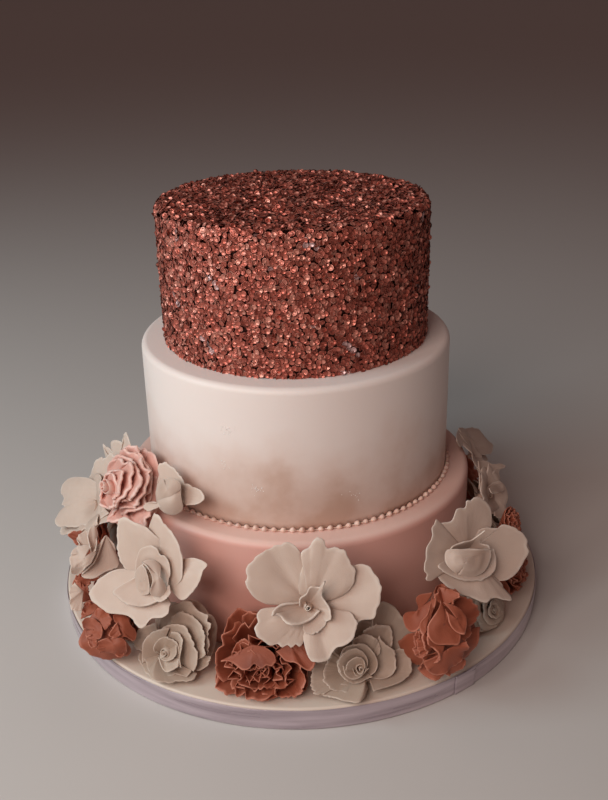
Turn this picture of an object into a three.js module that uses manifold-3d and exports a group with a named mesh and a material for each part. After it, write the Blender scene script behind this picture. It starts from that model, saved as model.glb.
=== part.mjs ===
// A three-tier wedding cake on its covered board, with a wreath of sugar flowers.
// Millimetres, +Z up. The origin is the centre of the board's underside.
//
// From the floor up: a cake drum with a sheet of icing on it and a ribbon round its edge,
// a low blush tier, a middle ivory tier with a piped snail trail at its foot, and a top
// tier crusted with round sequins. Sugar flowers lean on the lowest tier all the way round.

import * as THREE from "three";
import { mergeVertices } from "three/addons/utils/BufferGeometryUtils.js";
import Module from "manifold-3d";

// ---- Driving dimensions -------------------------------------------------------------

const GAP = 0.3; // clearance between neighbouring solids
const SIDES = 48; // facets round each tier and the board

const DRUM = { radius: 177.2, height: 12, edge: 0.6 };
const ICING = { thickness: 3.5, edge: 1.6 };
const RIBBON = { thickness: 0.5, width: 14.6, lift: 0.5, lapAngle: -54, lapLength: 16 };

const TIERS = {
  low: { radius: 124, height: 84, rim: 4.5 },
  middle: { radius: 107.2, height: 98.4, rim: 4 },
  top: { radius: 90.2, height: 92, rim: 3 },
};

const BEAD = { pitch: 6.1, radius: 1.55, tail: 0.55 };
const SEQUIN = { radius: 2.1, thickness: 1, proud: 0.75, tilt: 16, rows: 5, perRow: 8, onTop: 16 };

const PETAL_GAP = 0.4; // room kept between a flower and its neighbours
const PRESS = 2.5; // how softly a petal bends away from what it meets

// ---- Heights that follow from them --------------------------------------------------

const boardTop = DRUM.height + GAP + ICING.thickness;
const lowFoot = boardTop + GAP;
const lowTop = lowFoot + TIERS.low.height;
const middleFoot = lowTop + GAP;
const middleTop = middleFoot + TIERS.middle.height;
const topFoot = middleTop + GAP;

// ---- Flowers ------------------------------------------------------------------------

const IVORY = 0xd9cfc2;
const RUST = 0xa8583f;
const BLUSH = 0xd9a094;

// Each flower's name and kind, then
// its eye: turn round the cake in degrees, distance from the cake's axis, and height;
// the way it looks: its turn and its rise above the horizon in degrees; its radius;
// and its outer petals' turns about that way, from the flower's right hand upwards, or only
// the first one's where they are evenly spaced.
const FLOWERS = [
  ["open_flower_front", "open", [-88.5, 162, 80], [-90, 24], 42, [5, 65, 137, 228, 305]],
  ["open_flower_left", "open", [-126, 160, 84], [-114, 26], 41, [14, 68, 122, 218, 295]],
  ["open_flower_right", "open", [-46.5, 159, 84], [-58, 28], 37, [8, 92, 165, 222, 308]],
  ["open_flower_far_left", "open", [-167, 157, 80], [-158, 28], 35, 40],
  ["blush_rose", "blush", [-149, 147, 115], [-146, 26], 36, 0],
  ["rosebud", "bud", [-131, 129, 126], [-124, 40], 18, 30],
  ["cupped_flower_left", "cup", [-151, 168, 68], [-158, 28], 22, 10],
  ["ruffled_flower_left_upper", "ruffled", [-155, 166, 38], [-156, 18], 18, 0],
  ["ruffled_flower_left", "ruffled", [-139.5, 168, 31], [-140, 18], 23, 33],
  ["white_rose_left", "rose", [-120.5, 165, 40], [-116, 24], 30, 15],
  ["ruffled_flower_front", "ruffled", [-99.5, 166, 36], [-99, 20], 34, 12],
  ["white_rose_front", "rose", [-75.5, 167, 36], [-74, 22], 34, 50],
  ["ruffled_flower_right", "ruffled", [-56, 164, 34], [-66, 12], 30, 70],
  ["white_rose_right", "rose", [-38, 165, 31], [-44, 28], 22, 5],
  ["ruffled_flower_far_right", "ruffled", [-17, 166, 34], [-17, 16], 24, 25],
  ["ruffled_flower_right_upper", "ruffled", [-19, 160, 69], [-16, 22], 14, 0],
  ["open_flower_right_middle", "open", [-14, 144, 84], [-24, 28], 27, 30],
  ["open_flower_far_right", "open", [5, 133, 94], [-5, 36], 25, 0],
  ["white_rose_back_right", "rose", [9, 161, 40], [9, 24], 28, 20],
  ["ruffled_flower_back_right", "ruffled", [34, 163, 38], [34, 20], 31, 45],
  ["blush_rose_back", "blush", [59, 163, 38], [59, 24], 31, 70],
  ["open_flower_back_right", "open", [72, 160, 82], [72, 26], 40, 50],
  ["ruffled_flower_back", "ruffled", [86, 163, 38], [86, 20], 33, 8],
  ["open_flower_back_left", "open", [105, 160, 82], [105, 26], 38, 10],
  ["white_rose_back_left", "rose", [112, 163, 38], [112, 24], 31, 35],
  ["ruffled_flower_back_left", "ruffled", [138, 163, 38], [138, 20], 31, 60],
  ["white_rose_far_left", "rose", [164, 163, 38], [164, 22], 29, 0],
  ["ruffled_flower_far_left", "ruffled", [-173, 163, 36], [-173, 18], 22, 10],
];

// How each kind is made, in shares of the flower's radius and degrees from its axis.
// depth: from its eye back to its root. round: how far it bulges along its axis.
// columns: facets across an outer petal. heart: the bud's shoulder radius and height, and tip.
// Each ring of petals has
// reach, root: a petal's length, and how far from the axis it starts;
// open: the petal's angle at its root and at its tip; flare: how its rim turns out;
// curl: how its sides rise; lap: how far one side lies above its neighbour;
// wave: the height of its ruffle; nip: how much shorter its sides are; rows: facets along it.
const KINDS = {
  open: {
    tint: IVORY, depth: 0.3, round: 0.42, columns: 4, petals: 5, heart: [0.09, 0.3, 0.42],
    rings: [
      {
        reach: 1.02, root: 0.05, open: [52, 96], flare: 0,
        curl: 0.05, lap: 0.035, wave: 0.05, nip: 0.2, rows: 2,
      },
      {
        petals: 3, reach: 0.52, root: 0.04, open: [10, 66], flare: 0,
        curl: 0.1, lap: 0.04, wave: 0.03, nip: 0.2, rows: 1,
      },
    ],
  },
  cup: {
    tint: IVORY, depth: 0.9, round: 0.9, columns: 4, petals: 4, heart: [0.2, 0.5, 0.8],
    rings: [
      {
        reach: 1.4, root: 0.1, open: [62, 4], flare: 0,
        curl: 0.08, lap: 0.05, wave: 0.06, nip: 0.25, rows: 2,
      },
    ],
  },
  rose: {
    tint: IVORY, depth: 0.85, round: 0.85, columns: 3, petals: 5, heart: [0.13, 0.78, 0.87],
    rings: [
      {
        reach: 1.12, root: 0.12, open: [85, 30], flare: 0.12,
        curl: 0.03, lap: 0.05, wave: 0.03, nip: 0.12, rows: 2,
      },
      {
        petals: 3, reach: 0.98, root: 0.14, open: [60, -5], flare: 0.02,
        curl: 0.02, lap: 0.05, wave: 0.02, nip: 0.1, rows: 1,
      },
    ],
  },
  ruffled: {
    tint: RUST, depth: 0.85, round: 0.85, columns: 3, petals: 6, heart: [0.16, 0.66, 0.8],
    rings: [
      {
        reach: 1.15, root: 0.12, open: [80, 35], flare: 0.1,
        curl: 0.04, lap: 0.04, wave: 0.12, nip: 0.12, rows: 1,
      },
      {
        petals: 6, reach: 1.05, root: 0.14, open: [55, 5], flare: 0,
        curl: 0.03, lap: 0.04, wave: 0.1, nip: 0.12, rows: 1,
      },
    ],
  },
  bud: {
    tint: IVORY, depth: 1.0, round: 1, columns: 3, petals: 3, heart: [0.34, 0.8, 1.15],
    rings: [
      {
        reach: 1.3, root: 0.15, open: [72, 20], flare: 0.12,
        curl: 0.08, lap: 0.05, wave: 0.04, nip: 0.22, rows: 2,
      },
    ],
  },
};
KINDS.blush = { ...KINDS.rose, tint: BLUSH };

const STEM = { least: 2 };
const PETAL = { thickness: 1.2, valley: 0.22, innerTurn: 30, columnSpread: 0.44 };

// ---- Small maths --------------------------------------------------------------------

const radians = THREE.MathUtils.degToRad;

// A number that is always positive, and nearly the same as d where d is large.
const softened = (d) => (d + Math.hypot(d, 2 * PRESS)) / 2;

// The direction with a turn round Z and a rise above the horizon, in degrees.
const unit = (turn, rise) =>
  new THREE.Vector3(
    Math.cos(radians(turn)) * Math.cos(radians(rise)),
    Math.sin(radians(turn)) * Math.cos(radians(rise)),
    Math.sin(radians(rise)),
  );

// A repeatable number from 0 to 1 for the k-th choice of the n-th thing.
function chance(n, k) {
  const s = Math.sin(n * 12.9898 + k * 78.233) * 43758.5453;
  return s - Math.floor(s);
}

// ---- Solids -------------------------------------------------------------------------

const wasm = await Module();
wasm.setup();

// A closed geometry as a solid.
function toSolid(geometry) {
  const bare = geometry.clone();
  bare.deleteAttribute("normal");
  bare.deleteAttribute("uv");
  const merged = mergeVertices(bare, 1e-4);
  return new wasm.Manifold(
    new wasm.Mesh({
      numProp: 3,
      vertProperties: new Float32Array(merged.attributes.position.array),
      triVerts: new Uint32Array(merged.index.array),
    }),
  );
}

// A solid as a geometry.
function toGeometry(solid) {
  const mesh = solid.getMesh();
  const geometry = new THREE.BufferGeometry();
  geometry.setAttribute("position", new THREE.BufferAttribute(mesh.vertProperties, 3));
  geometry.setIndex(new THREE.BufferAttribute(mesh.triVerts, 1));
  geometry.computeVertexNormals();
  return geometry;
}

// A geometry from a list of coordinates and a list of corners.
function meshOf(positions, index) {
  const geometry = new THREE.BufferGeometry();
  geometry.setAttribute("position", new THREE.Float32BufferAttribute(positions, 3));
  geometry.setIndex(index);
  return geometry;
}

// Several solids fused into one.
const joined = (solids) => solids.reduce((whole, next) => whole.add(next));

// The largest of a solid's separate bodies.
function largest(solid) {
  const bodies = solid.decompose();
  return bodies.reduce((a, b) => (b.volume() > a.volume() ? b : a));
}

// Turns a profile of [radius, height] points round the Z axis. It starts and ends on the axis.
function turned(profile, sides = SIDES) {
  const points = profile.map(([r, z]) => new THREE.Vector2(r, z));
  const geometry = new THREE.LatheGeometry(points, sides);
  geometry.rotateX(Math.PI / 2);
  return geometry;
}

// A disc of the given radius between two heights, with its upper edge rounded.
function roundedDisc(radius, foot, top, rim, steps = 2) {
  const profile = [[0, foot], [radius, foot]];
  for (let i = 0; i <= steps; i++) {
    const a = ((Math.PI / 2) * i) / steps;
    profile.push([radius - rim + rim * Math.cos(a), top - rim + rim * Math.sin(a)]);
  }
  profile.push([0, top]);
  return turned(profile);
}

// ---- Board --------------------------------------------------------------------------

const drumGeometry = () => roundedDisc(DRUM.radius, 0, DRUM.height, DRUM.edge, 1);
const icingGeometry = () =>
  roundedDisc(DRUM.radius, DRUM.height + GAP, boardTop, ICING.edge);

// A band round the board, whose outer end laps over its beginning.
function ribbonGeometry() {
  const inner = DRUM.radius + GAP;
  const outer = inner + RIBBON.thickness;
  const foot = RIBBON.lift;
  const top = foot + RIBBON.width;
  const band = turned([[inner, foot], [outer, foot], [outer, top], [inner, top], [inner, foot]]);
  const lapTurn = RIBBON.lapLength / outer;
  const lap = new THREE.Shape();
  lap.absarc(0, 0, outer + RIBBON.thickness * 0.8, -lapTurn / 2, lapTurn / 2, false);
  lap.absarc(0, 0, outer - RIBBON.thickness / 2, lapTurn / 2, -lapTurn / 2, true);
  const inset = 0.3;
  const tab = new THREE.ExtrudeGeometry(lap, {
    depth: RIBBON.width - 2 * inset, bevelEnabled: false, curveSegments: 3,
  });
  tab.rotateZ(radians(RIBBON.lapAngle));
  tab.translate(0, 0, foot + inset);
  return toGeometry(toSolid(band).add(toSolid(tab)));
}

// ---- Tiers --------------------------------------------------------------------------

const lowTierGeometry = () => roundedDisc(TIERS.low.radius, lowFoot, lowTop, TIERS.low.rim);
const middleTierGeometry = () =>
  roundedDisc(TIERS.middle.radius, middleFoot, middleTop, TIERS.middle.rim);

// A six-sided sequin lying on a surface at a point, with the surface's normal.
function sequin(point, normal, n) {
  const disc = new THREE.CylinderGeometry(SEQUIN.radius, SEQUIN.radius, SEQUIN.thickness * 2, 6);
  const tilt = radians(SEQUIN.tilt);
  disc.rotateX(tilt * (2 * chance(n, 1) - 1));
  disc.rotateZ(tilt * (2 * chance(n, 2) - 1));
  disc.applyQuaternion(
    new THREE.Quaternion().setFromUnitVectors(new THREE.Vector3(0, 1, 0), normal),
  );
  const centre = point.clone().addScaledVector(normal, SEQUIN.proud - SEQUIN.thickness);
  disc.translate(centre.x, centre.y, centre.z);
  return toSolid(disc);
}

// The top tier: rows of sequins stand on its side, and a sunflower spiral of them on its top.
function topTierGeometry() {
  const { radius, height, rim } = TIERS.top;
  const top = topFoot + height;
  const sequins = [];
  for (let row = 0; row < SEQUIN.rows; row++) {
    for (let i = 0; i < SEQUIN.perRow; i++) {
      const n = row * SEQUIN.perRow + i;
      const turn = ((i + (row % 2) / 2 + 0.3 * chance(n, 3)) * 360) / SEQUIN.perRow;
      const normal = unit(turn, 0);
      const z = topFoot + ((row + 0.5 + 0.3 * (chance(n, 4) - 0.5)) * (height - rim)) / SEQUIN.rows;
      const flat = radius * Math.cos(Math.PI / SIDES);
      sequins.push(sequin(normal.clone().multiplyScalar(flat).setZ(z), normal, n));
    }
  }
  const goldenTurn = 137.508;
  for (let i = 0; i < SEQUIN.onTop; i++) {
    const r = (radius - rim - SEQUIN.radius) * Math.sqrt((i + 0.5) / SEQUIN.onTop);
    const place = unit(i * goldenTurn, 0).multiplyScalar(r).setZ(top);
    sequins.push(sequin(place, new THREE.Vector3(0, 0, 1), 500 + i));
  }
  const body = toSolid(roundedDisc(radius, topFoot, top, rim));
  return toGeometry(body.add(joined(sequins)));
}

// ---- Piped border -------------------------------------------------------------------

// A ring with a three-sided section, flat to the tier and to the ledge, that swells to a bead
// and narrows to a tail by turns.
function snailTrailGeometry() {
  const corners = [45, 165, 285].map(radians);
  const ringRadius = TIERS.middle.radius + GAP + BEAD.radius;
  const height = lowTop + GAP + BEAD.radius;
  const stations = 2 * Math.round((Math.PI * 2 * ringRadius) / BEAD.pitch);
  const positions = [];
  const index = [];
  for (let i = 0; i < stations; i++) {
    const swell = i % 2 ? BEAD.tail : BEAD.radius;
    const sunk = BEAD.radius - swell;
    const turn = (2 * Math.PI * i) / stations;
    corners.forEach((corner, k) => {
      const r = ringRadius - 0.6 * sunk + swell * Math.cos(corner);
      const z = height - 0.9 * sunk + swell * Math.sin(corner);
      positions.push(r * Math.cos(turn), r * Math.sin(turn), z);
      const [here, up] = [k, (k + 1) % corners.length].map((c) => i * corners.length + c);
      const [next, nextUp] = [here, up].map((c) => (c + corners.length) % (stations * corners.length));
      index.push(here, next, up, up, next, nextUp);
    });
  }
  return meshOf(positions, index);
}

// ---- Flowers ------------------------------------------------------------------------

// The turns of a number of evenly spaced petals.
const even = (count, first) => Array.from({ length: count }, (_, i) => first + (360 * i) / count);

// A flower with its own axes, its root, and the middle that the walls are set by.
function placed([name, kindName, at, face, size, spin], i) {
  const kind = KINDS[kindName];
  const [turn, distance, height] = at;
  const axis = unit(...face);
  const side = new THREE.Vector3(0, 0, 1).cross(axis).normalize();
  const up = axis.clone().cross(side);
  const eye = unit(turn, 0).multiplyScalar(distance).setZ(height);
  const root = eye.clone().addScaledVector(axis, -kind.depth * size);
  const middle = eye.clone().lerp(root, 0.5);
  const petals = Array.isArray(spin) ? spin : even(kind.petals, spin);
  return { name, kind, number: i + 1, size, petals, axis, side, up, root, middle };
}

// How far a flower reaches in a direction, and which way its outline faces there, as if it
// were an ellipsoid flattened along its axis.
function outline(f, direction) {
  const { round } = f.kind;
  const axial = direction.dot(f.axis);
  const lateral = direction.clone().addScaledVector(f.axis, -axial);
  const reach = f.size / Math.hypot(lateral.length(), axial / round);
  const normal = lateral.addScaledVector(f.axis, axial / round ** 2).normalize();
  return { reach, normal };
}

// The flat wall between two flowers that meet, with its normal towards the first, or null.
function wallBetween(a, b) {
  const apart = a.middle.clone().sub(b.middle);
  const direction = apart.clone().normalize();
  const ofA = outline(a, direction.clone().negate());
  const ofB = outline(b, direction);
  const reach = ofA.reach + ofB.reach;
  const tooFar = 1.4;
  if (apart.length() > tooFar * reach) return null;
  const normal = ofB.normal.sub(ofA.normal).normalize();
  const point = b.middle.clone().addScaledVector(apart, ofB.reach / reach);
  return { point, normal };
}

// How far a point is from a round tier, and the way out of it as [outwards, upwards].
function tierDistance(p, radius, top) {
  const out = Math.hypot(p.x, p.y) - radius;
  const rise = p.z - top;
  if (out > 0 && rise > 0) {
    const d = Math.hypot(out, rise);
    return [d, out / d, rise / d];
  }
  return out > rise ? [out, 1, 0] : [rise, 0, 1];
}

// Moves a point softly out of a round tier.
function clearOfTier(p, radius, top) {
  const [distance, outwards, upwards] = tierDistance(p, radius, top);
  const push = softened(distance - PETAL_GAP) + PETAL_GAP - distance;
  const r = Math.hypot(p.x, p.y);
  p.x *= 1 + (outwards * push) / r;
  p.y *= 1 + (outwards * push) / r;
  p.z += upwards * push;
}

// Bends a flower's point away from its neighbours, the tiers and the board.
function bent(p, walls) {
  for (let pass = 0; pass < 2; pass++) {
    clearOfTier(p, TIERS.middle.radius + 2 * BEAD.radius, middleTop);
    clearOfTier(p, TIERS.low.radius, lowTop);
    const rise = p.z - boardTop - PETAL_GAP;
    p.z += softened(rise) - rise;
    for (const { point, normal } of walls) {
      const distance = p.clone().sub(point).dot(normal) - PETAL_GAP / 2;
      p.addScaledVector(normal, softened(distance) - distance);
    }
  }
  return p;
}

// The columns of a flower's facets: each one's turn about the axis.
function columnTurns(f) {
  const { columns } = f.kind;
  const turns = [];
  f.petals.forEach((turn, i) => {
    const before = i ? f.petals[i - 1] : f.petals.at(-1) - 360;
    const after = i < f.petals.length - 1 ? f.petals[i + 1] : f.petals[0] + 360;
    for (let k = 0; k < columns; k++) {
      const t = (2 * k) / (columns - 1) - 1;
      const gap = t < 0 ? turn - before : after - turn;
      turns.push(turn + PETAL.columnSpread * t * gap);
    }
  });
  return turns;
}

// Which petal of a ring a turn falls on, and where across it from -1 to 1.
function petalAt(petals, turn) {
  const gaps = petals.map((t) => THREE.MathUtils.euclideanModulo(turn - t + 180, 360) - 180);
  const nearest = gaps.reduce((best, g, i) => (Math.abs(g) < Math.abs(gaps[best]) ? i : best), 0);
  const gap = gaps[nearest];
  const count = petals.length;
  const next = petals[(nearest + (gap < 0 ? count - 1 : 1)) % count];
  const apart = (next - petals[nearest]) * (gap < 0 ? -1 : 1);
  return [nearest, (2 * gap) / THREE.MathUtils.euclideanModulo(apart, 360)];
}

// A point of a ring of petals at a turn and at a share v of the petal's length, moved off the
// petal's middle surface by half its thickness times side. The midrib leaves the root at one
// angle from the flower's axis and bends evenly to another.
function ringPoint(f, ring, turn, v, side) {
  const petals = ring.petals ? even(ring.petals, f.petals[0] + PETAL.innerTurn) : f.petals;
  const [nth, t] = petalAt(petals, turn);
  const seed = 100 * f.number + 10 * petals.length + nth;
  const grown = 0.94 + 0.12 * chance(seed, 1);
  const along = v * grown * (1 - ring.nip * Math.abs(t) ** 2.2 * v);
  const [from, to] = ring.open.map(radians);
  const angle = from + (to - from) * along;
  const bow = (ring.reach * f.size) / (to - from);
  const rho = ring.root * f.size + bow * (Math.cos(from) - Math.cos(angle));
  const rise = bow * (Math.sin(angle) - Math.sin(from));
  const wave = ring.wave * Math.cos(3 * Math.PI * t + 6.28 * chance(seed, 2));
  const flare = ring.flare * v ** 4;
  const raised = v * v * (ring.curl * t * t + ring.lap * t + wave) - flare;
  const lift = f.size * raised + (side * PETAL.thickness) / 2;
  const outwards = rho - Math.cos(angle) * lift;
  return f.root
    .clone()
    .addScaledVector(f.side, outwards * Math.cos(radians(turn)))
    .addScaledVector(f.up, outwards * Math.sin(radians(turn)))
    .addScaledVector(f.axis, rise + Math.sin(angle) * lift);
}

// The rows of a flower's skin between its two ends: up the back of the outer petals, over
// their rims and down their faces to a valley, over each inner ring in the same way, and
// round the shoulder of the bud at its heart. Each has its side, and its point at a turn.
function skinRows(f) {
  const rows = [];
  f.kind.rings.forEach((ring, k) => {
    const shares = Array.from({ length: ring.rows }, (_, i) => 1 - i / (ring.rows + 0.6));
    const back = shares.toReversed();
    if (k === 0) back.unshift(PETAL.valley);
    const add = (v, side) => rows.push({ side, at: (turn) => ringPoint(f, ring, turn, v, side) });
    for (const v of back) add(v, -1);
    for (const v of [...shares, PETAL.valley]) add(v, 1);
  });
  const [shoulder, height] = f.kind.heart;
  const middle = f.root.clone().addScaledVector(f.axis, height * f.size);
  const at = (turn) =>
    middle
      .clone()
      .addScaledVector(f.side, shoulder * f.size * Math.cos(radians(turn)))
      .addScaledVector(f.up, shoulder * f.size * Math.sin(radians(turn)));
  rows.push({ side: 0, at });
  return rows;
}

// A flower as one closed skin, from the end of its stem at the lowest tier to its heart's tip.
// The two faces of a petal are split along the same diagonals, so that they never cross.
function flowerGeometry(f, walls) {
  const turns = columnTurns(f);
  const rows = skinRows(f);
  const behind = Math.hypot(f.root.x, f.root.y) - TIERS.low.radius;
  const level = Math.hypot(f.axis.x, f.axis.y);
  const stem = Math.max(behind / level, STEM.least);
  const ends = [-stem, f.kind.heart[2] * f.size];
  const [start, tip] = ends.map((h) => f.root.clone().addScaledVector(f.axis, h));
  const points = [start, ...rows.flatMap((row) => turns.map(row.at)), tip];
  const count = turns.length;
  const last = points.length - 1;
  const index = [];
  for (let i = 0; i < count; i++) {
    const next = (i + 1) % count;
    index.push(0, 1 + next, 1 + i);
    for (let row = 0; row < rows.length - 1; row++) {
      const a = 1 + row * count + i;
      const b = 1 + row * count + next;
      const [c, d] = [b + count, a + count];
      const onFace = rows[row].side > 0 && rows[row + 1].side > 0;
      index.push(...(onFace ? [a, b, d, b, c, d] : [a, b, c, a, c, d]));
    }
    index.push(last, last - count + i, last - count + next);
  }
  const positions = points.flatMap((p) => bent(p, walls).toArray());
  const skin = toSolid(meshOf(positions, index));
  return toGeometry(largest(skin.subtract(cakeKeepOut)));
}

// The tiers and the board, grown by the gap, that no flower may enter.
const trailEdge = TIERS.middle.radius + 2 * (BEAD.radius + GAP);
const cakeKeepOut = joined([
  toSolid(roundedDisc(TIERS.low.radius + GAP, 0, lowTop + GAP, TIERS.low.rim)),
  toSolid(roundedDisc(trailEdge, lowTop, middleTop, TIERS.middle.rim)),
  toSolid(roundedDisc(DRUM.radius + ICING.thickness, 0, boardTop + GAP, ICING.edge)),
]);

// ---- The cake -----------------------------------------------------------------------

function piece(name, geometry, color, roughness, metalness = 0) {
  const material = new THREE.MeshStandardMaterial({ color, roughness, metalness });
  const mesh = new THREE.Mesh(geometry, material);
  mesh.name = name;
  return mesh;
}

function board() {
  const group = new THREE.Group();
  group.add(
    piece("drum", drumGeometry(), 0xc9c8c6, 0.4, 0.4),
    piece("board_icing", icingGeometry(), 0xe2d8ce, 0.6),
    piece("ribbon", ribbonGeometry(), 0xb9a9b0, 0.35),
  );
  return group;
}

function tiers() {
  const group = new THREE.Group();
  group.add(
    piece("low_tier", lowTierGeometry(), 0xc98f82, 0.55),
    piece("middle_tier", middleTierGeometry(), 0xe6dad2, 0.55),
    piece("snail_trail", snailTrailGeometry(), 0xe0beb2, 0.5),
    piece("top_tier", topTierGeometry(), 0x8e4a3c, 0.35, 0.6),
  );
  return group;
}

function wreath() {
  const group = new THREE.Group();
  const all = FLOWERS.map(placed);
  for (const f of all) {
    const walls = all.filter((g) => g !== f).map((g) => wallBetween(f, g)).filter(Boolean);
    group.add(piece(f.name, flowerGeometry(f, walls), f.kind.tint, 0.65));
  }
  return group;
}

const cake = new THREE.Group();
cake.add(board(), tiers(), wreath());

export default cake;
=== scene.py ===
"""A three-tier wedding cake on its covered board, with a wreath of sugar flowers.

The board carries a low blush tier, a middle ivory tier with a brushed wash and a piped snail
trail at its foot, and a top tier crusted with round sugar sequins. Sizes are in millimetres
in the cake's own frame, +Z up, and a mesh is turned to metres as it is made.
"""

from __future__ import annotations

import logging
import math
from dataclasses import dataclass, field, replace
from enum import Enum
from typing import Callable, Sequence, Union

import bpy
import numpy as np
from mathutils import Matrix, Vector


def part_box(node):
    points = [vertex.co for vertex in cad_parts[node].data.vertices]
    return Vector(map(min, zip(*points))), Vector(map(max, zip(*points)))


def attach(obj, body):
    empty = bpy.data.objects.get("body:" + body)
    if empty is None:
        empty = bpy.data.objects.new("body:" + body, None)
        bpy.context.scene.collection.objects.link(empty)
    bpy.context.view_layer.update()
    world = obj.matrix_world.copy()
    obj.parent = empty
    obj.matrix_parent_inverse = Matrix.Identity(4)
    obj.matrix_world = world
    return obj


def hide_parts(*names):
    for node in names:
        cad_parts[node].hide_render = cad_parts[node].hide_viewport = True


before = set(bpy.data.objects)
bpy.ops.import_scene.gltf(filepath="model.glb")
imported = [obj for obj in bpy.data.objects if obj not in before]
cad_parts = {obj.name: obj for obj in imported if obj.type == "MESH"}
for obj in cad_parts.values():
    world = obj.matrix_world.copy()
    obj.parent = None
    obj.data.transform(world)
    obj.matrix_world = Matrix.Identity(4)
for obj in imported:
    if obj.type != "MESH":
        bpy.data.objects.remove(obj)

MM = 0.001  # metres in a millimetre
BODY = "root"
LOG = logging.getLogger("cake")

Colour = tuple[float, ...]
Value = Union[float, tuple, bpy.types.NodeSocket]
Array = np.ndarray
Inputs = dict[str, Value]


# ---- Small maths ---------------------------------------------------------------------


def paint(red: int, green: int, blue: int) -> Colour:
    """The linear colour of a screen colour: each share s becomes ((s + 0.055) / 1.055)^2.4."""
    shares = (np.array([red, green, blue]) / 255 + 0.055) / 1.055
    return (*(float(s) for s in shares**2.4), 1.0)


def direction(turn: float, rise: float) -> Array:
    """The unit vector with a turn round Z and a rise above the horizon, both in degrees."""
    t, r = math.radians(turn), math.radians(rise)
    return np.array([math.cos(t) * math.cos(r), math.sin(t) * math.cos(r), math.sin(r)])


def smoothstep(low: float, high: float, x: Array) -> Array:
    """Zero below low, one above high, and 3s^2 - 2s^3 of the share s between them."""
    s = np.clip((x - low) / (high - low), 0, 1)
    return s * s * (3 - 2 * s)


def unit_rows(vectors: Array) -> Array:
    """Each vector along the last axis divided by its own length."""
    return vectors / np.maximum(np.linalg.norm(vectors, axis=-1, keepdims=True), 1e-9)


def wander(x: Array, rng: np.random.Generator, knots: int) -> Array:
    """A random line through evenly spaced knots between -1 and 1, read at x from -1 to 1."""
    return np.interp(x, np.linspace(-1, 1, knots), rng.uniform(-1, 1, knots))


def swell(turns: Array, heights: Array, rng: np.random.Generator, waves: int = 5) -> Array:
    """A smooth unevenness from -1 to 1 over a turned surface.

    It is the mean of a few sines, each of a whole number of turns and of some height.

    Args:
        turns: Turns round the axis, in radians.
        heights: Distances along the profile, in millimetres.
        rng: Where the phases come from.
        waves: How many sines are summed.

    Returns:
        One number for each pair.
    """
    total = np.zeros(np.broadcast(turns, heights).shape)
    for count in range(1, waves + 1):
        phase, lean = rng.uniform(0, 2 * np.pi), rng.uniform(0.01, 0.05)
        total = total + np.sin(count * turns + lean * heights + phase)
    return total / waves


# ---- Meshes --------------------------------------------------------------------------


@dataclass
class Shell:
    """A closed mesh in the making.

    Attributes:
        points: Its vertices in millimetres, (n, 3).
        quads: Its four-sided faces, (m, 4).
        triangles: Its three-sided faces, (k, 3).
        marks: Named numbers, one for each vertex.
    """

    points: Array
    quads: Array = field(default_factory=lambda: np.zeros((0, 4), int))
    triangles: Array = field(default_factory=lambda: np.zeros((0, 3), int))
    marks: dict[str, Array] = field(default_factory=dict)

    def count(self) -> int:
        """How many triangles the mesh comes to."""
        return 2 * len(self.quads) + len(self.triangles)


def joined(shells: Sequence[Shell]) -> Shell:
    """Several shells as one mesh, each mark filled with zeros where a shell lacks it.

    Args:
        shells: The shells to join.

    Returns:
        One shell with their vertices and faces in order.
    """
    starts = np.cumsum([0] + [len(s.points) for s in shells])
    names = sorted({name for s in shells for name in s.marks})
    marks = {
        name: np.concatenate([s.marks.get(name, np.zeros(len(s.points))) for s in shells])
        for name in names
    }
    return Shell(
        np.concatenate([s.points for s in shells]),
        np.concatenate([s.quads + start for s, start in zip(shells, starts)]),
        np.concatenate([s.triangles + start for s, start in zip(shells, starts)]),
        marks,
    )


def make_object(name: str, shell: Shell) -> bpy.types.Object:
    """A smooth Blender object of a shell, at the origin.

    Args:
        name: The piece's name.
        shell: Its mesh in millimetres. Marks "across" and "along" become its UV map.

    Returns:
        The new object.
    """
    mesh = bpy.data.meshes.new(name)
    corners = np.concatenate([shell.quads.ravel(), shell.triangles.ravel()]).astype(np.int32)
    sides = np.concatenate([np.full(len(shell.quads), 4), np.full(len(shell.triangles), 3)])
    mesh.vertices.add(len(shell.points))
    mesh.vertices.foreach_set("co", (shell.points * MM).astype(np.float32).ravel())
    mesh.loops.add(len(corners))
    mesh.loops.foreach_set("vertex_index", corners)
    mesh.polygons.add(len(sides))
    mesh.polygons.foreach_set("loop_start", (np.cumsum(sides) - sides).astype(np.int32))
    mesh.polygons.foreach_set("use_smooth", np.ones(len(sides), bool))
    for mark, values in shell.marks.items():
        layer = mesh.attributes.new(mark, "FLOAT", "POINT")
        layer.data.foreach_set("value", values.astype(np.float32))
    if "across" in shell.marks:
        pairs = np.stack([shell.marks["across"], shell.marks["along"]], 1)[corners]
        mesh.uv_layers.new(name="petal").data.foreach_set("uv", pairs.astype(np.float32).ravel())
    mesh.update(calc_edges=True)
    mesh.validate()
    piece = bpy.data.objects.new(name, mesh)
    bpy.context.scene.collection.objects.link(piece)
    LOG.info("%s: %d triangles", name, shell.count())
    return piece


def dress(piece: bpy.types.Object, finish: Finish, nodes: Sequence[str]) -> None:
    """Gives a piece its material and its body, and hides the frame's nodes that it stands for.

    Args:
        piece: The new piece.
        finish: What it is finished with.
        nodes: The frame's nodes that it replaces, if any.
    """
    piece.data.materials.append(finish.material())
    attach(piece, BODY)
    if nodes:
        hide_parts(*nodes)


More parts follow.
